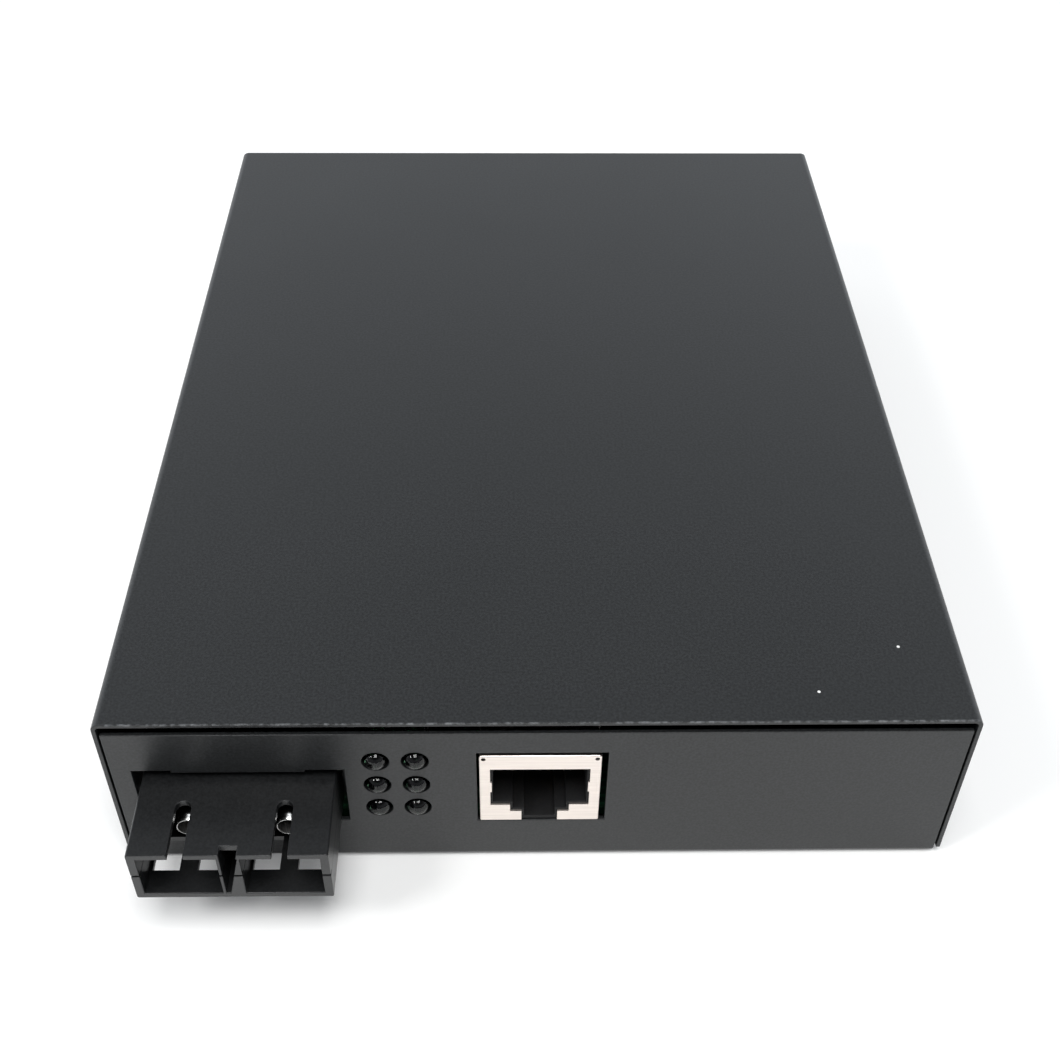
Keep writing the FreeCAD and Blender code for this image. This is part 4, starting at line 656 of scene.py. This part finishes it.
class CONVERTER_OT_lamps(Operator):
    """Make the six indicator lamps: domed lenses with their lead frames inside"""
    bl_idname = "converter.lamps"
    bl_label = "Indicator lamps"

    # Each post's side of the axis and height, the gap behind the posts, and how far their heads
    # reach towards the axis as a share of their distance from it
    POSTS = ((-1, 1.5 * MM), (1, 1.9 * MM))
    POST_GAP = 0.05 * MM
    POST_HEAD = 0.45
    # Reflector cup: its middle, sides, depth and lip, and its hollow's depth and narrowing
    CUP_MIDDLE = (-0.15 * MM, -2.25 * MM, 0)
    CUP_SIDES = 24
    CUP_DEPTH = 0.5 * MM
    CUP_LIP = 0.08 * MM
    HOLLOW_DEPTH = 0.3 * MM
    HOLLOW_TAPER = 0.5
    FRAME_EDGE = 0.03 * MM
    # Share of the epoxy's colour where it is darkest
    DARKEST = 0.97

    def execute(self, context):
        lamp = context.scene.converter.lamp
        # Clear cast epoxy: a glassy, faintly green lens that bends what lies behind it
        epoxy = grained("clear_green_epoxy", [self.DARKEST * c for c in lamp.epoxy], lamp.epoxy,
                        grain=0.8 * MM, roughness=0.035, spread=0.015, IOR=1.45,
                        **{"Transmission Weight": 1.0})
        # Stamped, silvered steel, painted dark grey as the shade inside the lamp, with a soft metal
        # sheen
        shaded_frame_metal = grained("silvered_lead_frame", linear("#2b2d2a"), linear("#3d403c"),
                         grain=0.2 * MM, roughness=0.5, Metallic=1.0)
        lens = self.lens(lamp)
        inside = self.lead_frame(lamp)
        for node in LAMPS:
            low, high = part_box(node)
            seat = Matrix.Translation(((low.x + high.x) / 2, high.y, (low.z + high.z) / 2))
            settle(copied(lens, f"{node}_lens", seat), "lamp_lens", epoxy, node)
            settle(copied(inside, f"{node}_frame", seat), "tinned_lead", shaded_frame_metal)
        bpy.data.objects.remove(lens)
        bpy.data.objects.remove(inside)
        return {"FINISHED"}

    def lens(self, lamp):
        """A lens that points along -Y, with its rear rim at the origin."""
        low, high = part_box(LAMPS[0])
        rim, reach = (high.x - low.x) / 2, high.y - low.y
        radius = lamp.radius
        bpy.ops.object.select_all(action="DESELECT")
        bpy.ops.mesh.primitive_circle_add(vertices=lamp.sides, radius=rim, fill_type="NGON",
                                          rotation=(math.pi / 2, 0, 0))
        piece = new_piece("lens")
        bpy.ops.object.transform_apply(rotation=True)
        bpy.ops.object.mode_set(mode="EDIT")
        grow((0, -lamp.rim, 0))
        grow((0, 0, 0), radius / rim, (0, -lamp.rim, 0))
        grow((0, -(reach - lamp.rim - radius), 0))
        base = reach - radius
        angle, step = 0.0, math.pi / 2 / lamp.rings
        for _ in range(1, lamp.rings):
            rise = radius * (math.sin(angle + step) - math.sin(angle))
            shrink = math.cos(angle + step) / math.cos(angle)
            angle += step
            grow((0, -rise, 0), shrink, (0, -(base + radius * math.sin(angle)), 0))
        tip = (0, -radius * (1 - math.sin(angle)), 0)
        bpy.ops.mesh.extrude_region_move(TRANSFORM_OT_translate={"value": tip})
        bpy.ops.mesh.merge(type="COLLAPSE")
        bpy.ops.object.mode_set(mode="OBJECT")
        face_outward(piece)
        bpy.ops.object.shade_smooth_by_angle(angle=SMOOTH_ANGLE)
        return piece

    def lead_frame(self, lamp):
        """The two posts inside a lens, one with its reflector cup, seen through the dome."""
        low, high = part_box(LAMPS[0])
        half = (high.x - low.x) / 4
        posts = []
        for side, tall in self.POSTS:
            bpy.ops.object.select_all(action="DESELECT")
            bpy.ops.mesh.primitive_cube_add(
                size=lamp.post, location=(side * half, -lamp.post / 2 - self.POST_GAP, 0))
            post = new_piece("post")
            bpy.ops.object.transform_apply(location=True)
            pick_faces(post, lambda middle, normal: normal.y < -FACING)
            bpy.ops.mesh.extrude_region_move(TRANSFORM_OT_translate={"value": (0, -tall, 0)})
            bpy.ops.object.mode_set(mode="OBJECT")
            half_reach = (tall + lamp.post / 2) / 2
            pick_faces(post, lambda middle, normal: (normal.x * side < -FACING
                                                     and middle.y < -half_reach))
            head = (-side * half * self.POST_HEAD, 0, 0)
            bpy.ops.mesh.extrude_region_move(TRANSFORM_OT_translate={"value": head})
            bpy.ops.object.mode_set(mode="OBJECT")
            posts.append(post)
        bpy.ops.object.select_all(action="DESELECT")
        bpy.ops.mesh.primitive_cylinder_add(vertices=self.CUP_SIDES, radius=lamp.cup,
                                            depth=self.CUP_DEPTH, location=self.CUP_MIDDLE,
                                            rotation=(math.pi / 2, 0, 0))
        cup = new_piece("cup")
        bpy.ops.object.transform_apply(location=True, rotation=True)
        pick_faces(cup, lambda middle, normal: normal.y < -FACING)
        bpy.ops.mesh.inset(thickness=self.CUP_LIP)
        hollow = (0, self.HOLLOW_DEPTH, 0)
        bpy.ops.mesh.extrude_region_move(TRANSFORM_OT_translate={"value": hollow})
        bpy.ops.transform.resize(value=(self.HOLLOW_TAPER, 1, self.HOLLOW_TAPER),
                                 center_override=(self.CUP_MIDDLE[0], 0, 0))
        bpy.ops.object.mode_set(mode="OBJECT")
        only(cup)
        for post in posts:
            post.select_set(True)
        bpy.ops.object.join()
        soften(cup, self.FRAME_EDGE)
        return cup


class CONVERTER_OT_network_jack(Operator):
    """Finish the network jack: plated shield with bend reliefs, plastic socket, spring contacts"""
    bl_idname = "converter.network_jack"
    bl_label = "Network jack"

    # A relief's middle lies this many of its radii inside the bends
    RELIEF_INSET = 1.3
    RELIEF_SIDES = 20
    RELIEF_DEPTH = 1.2 * MM
    BEND_STEPS = 4

    def execute(self, context):
        jack = context.scene.converter.jack
        # Nickel plate on rolled brass: bright and warm, with faint marks across its width
        plate = grained("nickel_plated_brass", jack.plate_dull, jack.plate, grain=0.35 * MM,
                        roughness=0.3, relief=0.001 * MM, stretch=(0.06, 1, 1), Metallic=1.0)
        settle(self.shield(jack), "jack_plate", plate, "jack_shield")
        # Nylon from a sparked mould: black and matt, so that the socket swallows light
        plastic = grained("moulded_jack_nylon", linear("#111112"), linear("#171718"),
                          grain=0.3 * MM, roughness=0.65, relief=0.002 * MM, IOR=1.35)
        dressed("jack_housing", "jack_socket", "black_plastic", plastic, jack.socket, soften)
        # Gold plate on bronze: smooth, yellow and bright
        gold = grained("gold_plated_bronze", linear("#b98a3c"), linear("#dcb765"),
                       grain=0.3 * MM, roughness=0.24, Metallic=1.0)
        coat(gold, "jack_contacts", "module_pins")
        return {"FINISHED"}

    def shield(self, jack):
        """The folded shield, bent round its flat front, with a relief hole in each upper corner."""
        low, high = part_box("jack_shield")
        piece = shape_of("jack_shield", "jack_plate")
        inset = jack.bend + self.RELIEF_INSET * jack.relief
        pick_faces(piece, lambda middle, normal: (normal.y < -FACING
                                                  and middle.y < low.y + WELD))
        bpy.ops.mesh.dissolve_faces()
        bpy.ops.object.mode_set(mode="OBJECT")
        pick_edges(piece, lambda a, b: all(
            end.y < low.y + WELD and (end.z > high.z - inset or end.x < low.x + inset
                                      or end.x > high.x - inset) for end in (a, b)))
        bpy.ops.mesh.bevel(offset=jack.bend, segments=self.BEND_STEPS, loop_slide=False)
        bpy.ops.object.mode_set(mode="OBJECT")
        for x in (low.x + inset, high.x - inset):
            bpy.ops.object.select_all(action="DESELECT")
            bpy.ops.mesh.primitive_cylinder_add(vertices=self.RELIEF_SIDES, radius=jack.relief,
                                                depth=self.RELIEF_DEPTH,
                                                location=(x, low.y, high.z - inset),
                                                rotation=(math.pi / 2, 0, 0))
            cut_out(piece, new_piece("relief"))
        shade(piece)
        return piece


class CONVERTER_OT_mains_inlet(Operator):
    """Finish the mains inlet: moulded flange and socket with three plated blades"""
    bl_idname = "converter.mains_inlet"
    bl_label = "Mains inlet"

    # Share of the plastic's colour where it is darkest
    DARKEST = 0.7

    def execute(self, context):
        inlet = context.scene.converter.inlet
        # Nylon from a sparked mould: black with a dull, even sheen
        plastic = grained("moulded_flame_proof_nylon", [self.DARKEST * c for c in inlet.plastic],
                          inlet.plastic, grain=0.35 * MM, roughness=0.45, relief=0.004 * MM,
                          IOR=1.53)
        dressed("inlet_housing", "inlet_socket", "black_plastic", plastic, inlet.corner)
        # Nickel plate on stamped brass: pale, warm metal with marks along each blade
        brass = grained("nickel_plated_blade", linear("#b9b5a8"), linear("#d8d4c6"),
                        grain=0.4 * MM, roughness=0.26, relief=0.001 * MM, stretch=(1, 0.08, 1),
                        Metallic=1.0)
        dressed("inlet_blades", "inlet_blade_set", "blade_brass", brass, inlet.blade, soften)
        return {"FINISHED"}


class CONVERTER_OT_circuit(Operator):
    """Finish the circuit boards, their parts and the lead between them"""
    bl_idname = "converter.circuit"
    bl_label = "Circuit boards"

    def execute(self, context):
        # Boards first, then what stands on them
        coat(solder_mask(), "main_board", "power_board", "module_board")
        # Moulded epoxy: black, matt and finely rough
        chip = grained("moulded_chip_epoxy", linear("#141415"), linear("#202122"),
                       grain=0.2 * MM, roughness=0.6, relief=0.004 * MM)
        coat(chip, "converter_chip", "line_transformer", "regulator", "power_chip",
             "bridge_rectifier")
        # Tin dipped on copper: grey metal with a soft sheen
        tin = grained("tinned_copper", linear("#7d7c79"), linear("#999893"),
                      grain=0.3 * MM, roughness=0.45, Metallic=1.0)
        coat(tin, "lamp_leads", "chip_leads", "line_transformer_leads")
        # Drawn steel: plain, bright metal
        can = grained("drawn_steel_can", linear("#a5a49f"), linear("#c3c2bd"),
                      grain=0.5 * MM, roughness=0.3, Metallic=1.0)
        coat(can, "crystal_can")
        # Shrunk vinyl: dark blue, tight and glossy
        sleeve = grained("shrunk_vinyl_sleeve", linear("#0d1018"), linear("#181d2a"),
                         grain=1.0 * MM, roughness=0.28)
        coat(sleeve, "filter_capacitors", "output_capacitors", "bulk_capacitor")
        # Sintered ferrite: dark grey and gritty
        ferrite = grained("sintered_ferrite", linear("#232325"), linear("#343437"),
                          grain=0.3 * MM, roughness=0.7, relief=0.01 * MM)
        coat(ferrite, "transformer_core", "noise_choke")
        # Polyester tape: yellow and glossy, in thin layers
        tape = grained("yellow_polyester_tape", linear("#c79a1c"), linear("#dcb43a"),
                       grain=1.5 * MM, roughness=0.3, stretch=(1, 1, 8))
        coat(tape, "transformer_winding", "noise_capacitor")
        # Drawn glass: clear, with sharp highlights
        glass = grained("fuse_glass", linear("#dfe6e2"), linear("#eef2f0"), grain=1.0 * MM,
                        roughness=0.05, spread=0.02, IOR=1.5, **{"Transmission Weight": 0.9})
        coat(glass, "power_fuse")
        # Nylon without pigment: milky white, softly shining
        nylon = grained("natural_nylon", linear("#d8d2bf"), linear("#e8e4d6"),
                        grain=0.6 * MM, roughness=0.4)
        coat(nylon, "wire_headers", "wire_plugs", "main_posts", "power_posts")
        # Polyester film: thin, pale and smooth
        film = grained("polyester_film", linear("#cfcabb"), linear("#dedacd"),
                       grain=3.0 * MM, roughness=0.25)
        coat(film, "insulating_sheet")
        # Soft vinyl: black with a dull, slightly rough skin
        vinyl = grained("soft_black_vinyl", linear("#121212"), linear("#1f1f1f"),
                        grain=0.5 * MM, roughness=0.45, relief=0.004 * MM)
        coat(vinyl, "low_voltage_lead")
        return {"FINISHED"}


class CONVERTER_OT_stage(Operator):
    """Lay the white floor, light it softly and set the camera"""
    bl_idname = "converter.stage"
    bl_label = "Stage"

    # Where the camera stands, in metres, its turns in degrees (heading, pitch, roll and levelling)
    # and the nearest distance that it sees, in metres
    STAND = (-3.934 * MM, -181.106 * MM, 164.63 * MM)
    TURNS = (("Z", -1.304), ("X", -43.317), ("Y", -0.7), ("X", 90.0))
    NEAREST = 0.01
    # Where the lamps hang, in metres
    SIDE_LAMP = (-0.8, -0.45, 0.95)
    FRONT_LAMP = (0.05, -0.4, 1.12)
    # The floor's radius and how far it lies under the object, in metres
    FLOOR_RADIUS = 4
    FLOOR_DROP = 0.0001
    FLOOR_SIDES = 96
    # Directions between which the walls change: upwards, away from the camera and aside
    RISE = (0.42, 0.68)
    DEPTH = (-0.3, 0.4)
    ASIDE = (0.12, 0.4)

    def execute(self, context):
        stage = context.scene.converter.stage
        context.scene.view_settings.view_transform = "Standard"
        self.floor(stage)
        self.surroundings(context.scene, stage)
        self.lamp("side_lamp", self.SIDE_LAMP, stage.side_spread, stage.side_lamp)
        self.lamp("front_lamp", self.FRONT_LAMP, stage.front_spread, stage.front_lamp)
        turn = Matrix.Identity(4)
        for axis, degrees in self.TURNS:
            turn = turn @ Matrix.Rotation(math.radians(degrees), 4, axis)
        data = bpy.data.cameras.new("camera")
        data.lens = stage.lens
        data.clip_start = self.NEAREST
        camera = bpy.data.objects.new("camera", data)
        camera.matrix_world = Matrix.Translation(self.STAND) @ turn
        context.scene.collection.objects.link(camera)
        context.scene.camera = camera
        return {"FINISHED"}

    def floor(self, stage):
        """A wide matt floor that the camera and reflections see a little whiter than it is lit."""
        bpy.ops.object.select_all(action="DESELECT")
        bpy.ops.mesh.primitive_circle_add(vertices=self.FLOOR_SIDES, radius=self.FLOOR_RADIUS,
                                          fill_type="NGON", location=(0, 0, -self.FLOOR_DROP))
        floor = new_piece("floor")
        bpy.ops.object.transform_apply(location=True)
        # Matt white board: it scatters light evenly and has no highlight
        material, tree, _ = blank("matt_white_board")
        matt = add(tree, "ShaderNodeBsdfDiffuse", {"Color": (*stage.floor, 1)})
        path = add(tree, "ShaderNodeLightPath")
        seen = path.outputs["Is Camera Ray"]
        for kind in ("Is Glossy Ray", "Is Transmission Ray"):
            either = add(tree, "ShaderNodeMath", {"operation": "ADD", "use_clamp": True},
                         {0: seen, 1: path.outputs[kind]})
            seen = either.outputs["Value"]
        strength = add(tree, "ShaderNodeMath", {"operation": "MULTIPLY", 1: stage.lift}, {0: seen})
        white = add(tree, "ShaderNodeEmission", links={"Strength": strength.outputs["Value"]})
        both = add(tree, "ShaderNodeAddShader",
                   links={0: matt.outputs["BSDF"], 1: white.outputs["Emission"]})
        add(tree, "ShaderNodeOutputMaterial", links={"Surface": both.outputs["Shader"]})
        floor.data.materials.append(material)

    def surroundings(self, scene, stage):
        """Pale walls round the object that darken towards the ceiling and the camera's side."""
        world = bpy.data.worlds.new("studio")
        world.use_nodes = True
        tree = world.node_tree
        tree.nodes.clear()
        place = add(tree, "ShaderNodeTexCoord")
        axes = add(tree, "ShaderNodeSeparateXYZ", links={"Vector": place.outputs["Generated"]})
        rise = add(tree, "ShaderNodeMapRange",
                   {"From Min": self.RISE[0], "From Max": self.RISE[1],
                    "To Min": stage.wall, "To Max": stage.ceiling},
                   {"Value": axes.outputs["Z"]})
        depth = add(tree, "ShaderNodeMapRange",
                    {"From Min": self.DEPTH[0], "From Max": self.DEPTH[1],
                     "To Min": stage.near_side, "To Max": 1.0},
                    {"Value": axes.outputs["Y"]})
        aside = add(tree, "ShaderNodeMath", {"operation": "ABSOLUTE"}, {0: axes.outputs["X"]})
        flank = add(tree, "ShaderNodeMapRange",
                    {"From Min": self.ASIDE[0], "From Max": self.ASIDE[1],
                     "To Min": 1.0, "To Max": stage.flanks},
                    {"Value": aside.outputs["Value"]})
        strength = rise.outputs["Result"]
        for share in (depth, flank):
            product = add(tree, "ShaderNodeMath", {"operation": "MULTIPLY"},
                          {0: strength, 1: share.outputs["Result"]})
            strength = product.outputs["Value"]
        wall = add(tree, "ShaderNodeBackground", {"Color": (*stage.wall_tint, 1)},
                   {"Strength": strength})
        add(tree, "ShaderNodeOutputWorld", links={"Surface": wall.outputs["Background"]})
        scene.world = world

    def lamp(self, name, place, spread, power):
        """A soft square lamp that faces the object."""
        data = bpy.data.lights.new(name, "AREA")
        data.size = spread
        data.energy = power
        lamp = bpy.data.objects.new(name, data)
        lamp.location = place
        lamp.rotation_euler = (-Vector(place)).to_track_quat("-Z", "Y").to_euler()
        bpy.context.scene.collection.objects.link(lamp)


OPERATORS = (CONVERTER_OT_case, CONVERTER_OT_screws, CONVERTER_OT_optical_port,
             CONVERTER_OT_lamps, CONVERTER_OT_network_jack, CONVERTER_OT_mains_inlet,
             CONVERTER_OT_circuit, CONVERTER_OT_stage)


class CONVERTER_PT_sidebar(Panel):
    """Sidebar with every step and the sizes and colours that it uses"""
    bl_label = "Media converter"
    bl_space_type = "VIEW_3D"
    bl_region_type = "UI"
    bl_category = "Converter"

    def draw(self, context):
        for operator in OPERATORS:
            self.layout.operator(operator.bl_idname)
        settings = context.scene.converter
        for group in ("case", "port", "lamp", "jack", "inlet", "stage"):
            box = self.layout.box()
            box.label(text=group.title())
            part = getattr(settings, group)
            for name in part.__annotations__:
                box.prop(part, name)


CLASSES = (CaseSettings, PortSettings, LampSettings, JackSettings, InletSettings, StageSettings,
           ConverterSettings, *OPERATORS, CONVERTER_PT_sidebar)


def register():
    for part in CLASSES:
        bpy.utils.register_class(part)
    bpy.types.Scene.converter = PointerProperty(type=ConverterSettings)


def unregister():
    del bpy.types.Scene.converter
    for part in reversed(CLASSES):
        bpy.utils.unregister_class(part)


def main():
    register()
    bpy.ops.converter.case()
    bpy.ops.converter.screws()
    bpy.ops.converter.optical_port()
    bpy.ops.converter.lamps()
    bpy.ops.converter.network_jack()
    bpy.ops.converter.mains_inlet()
    bpy.ops.converter.circuit()
    bpy.ops.converter.stage()


if __name__ == "__main__":
    main()
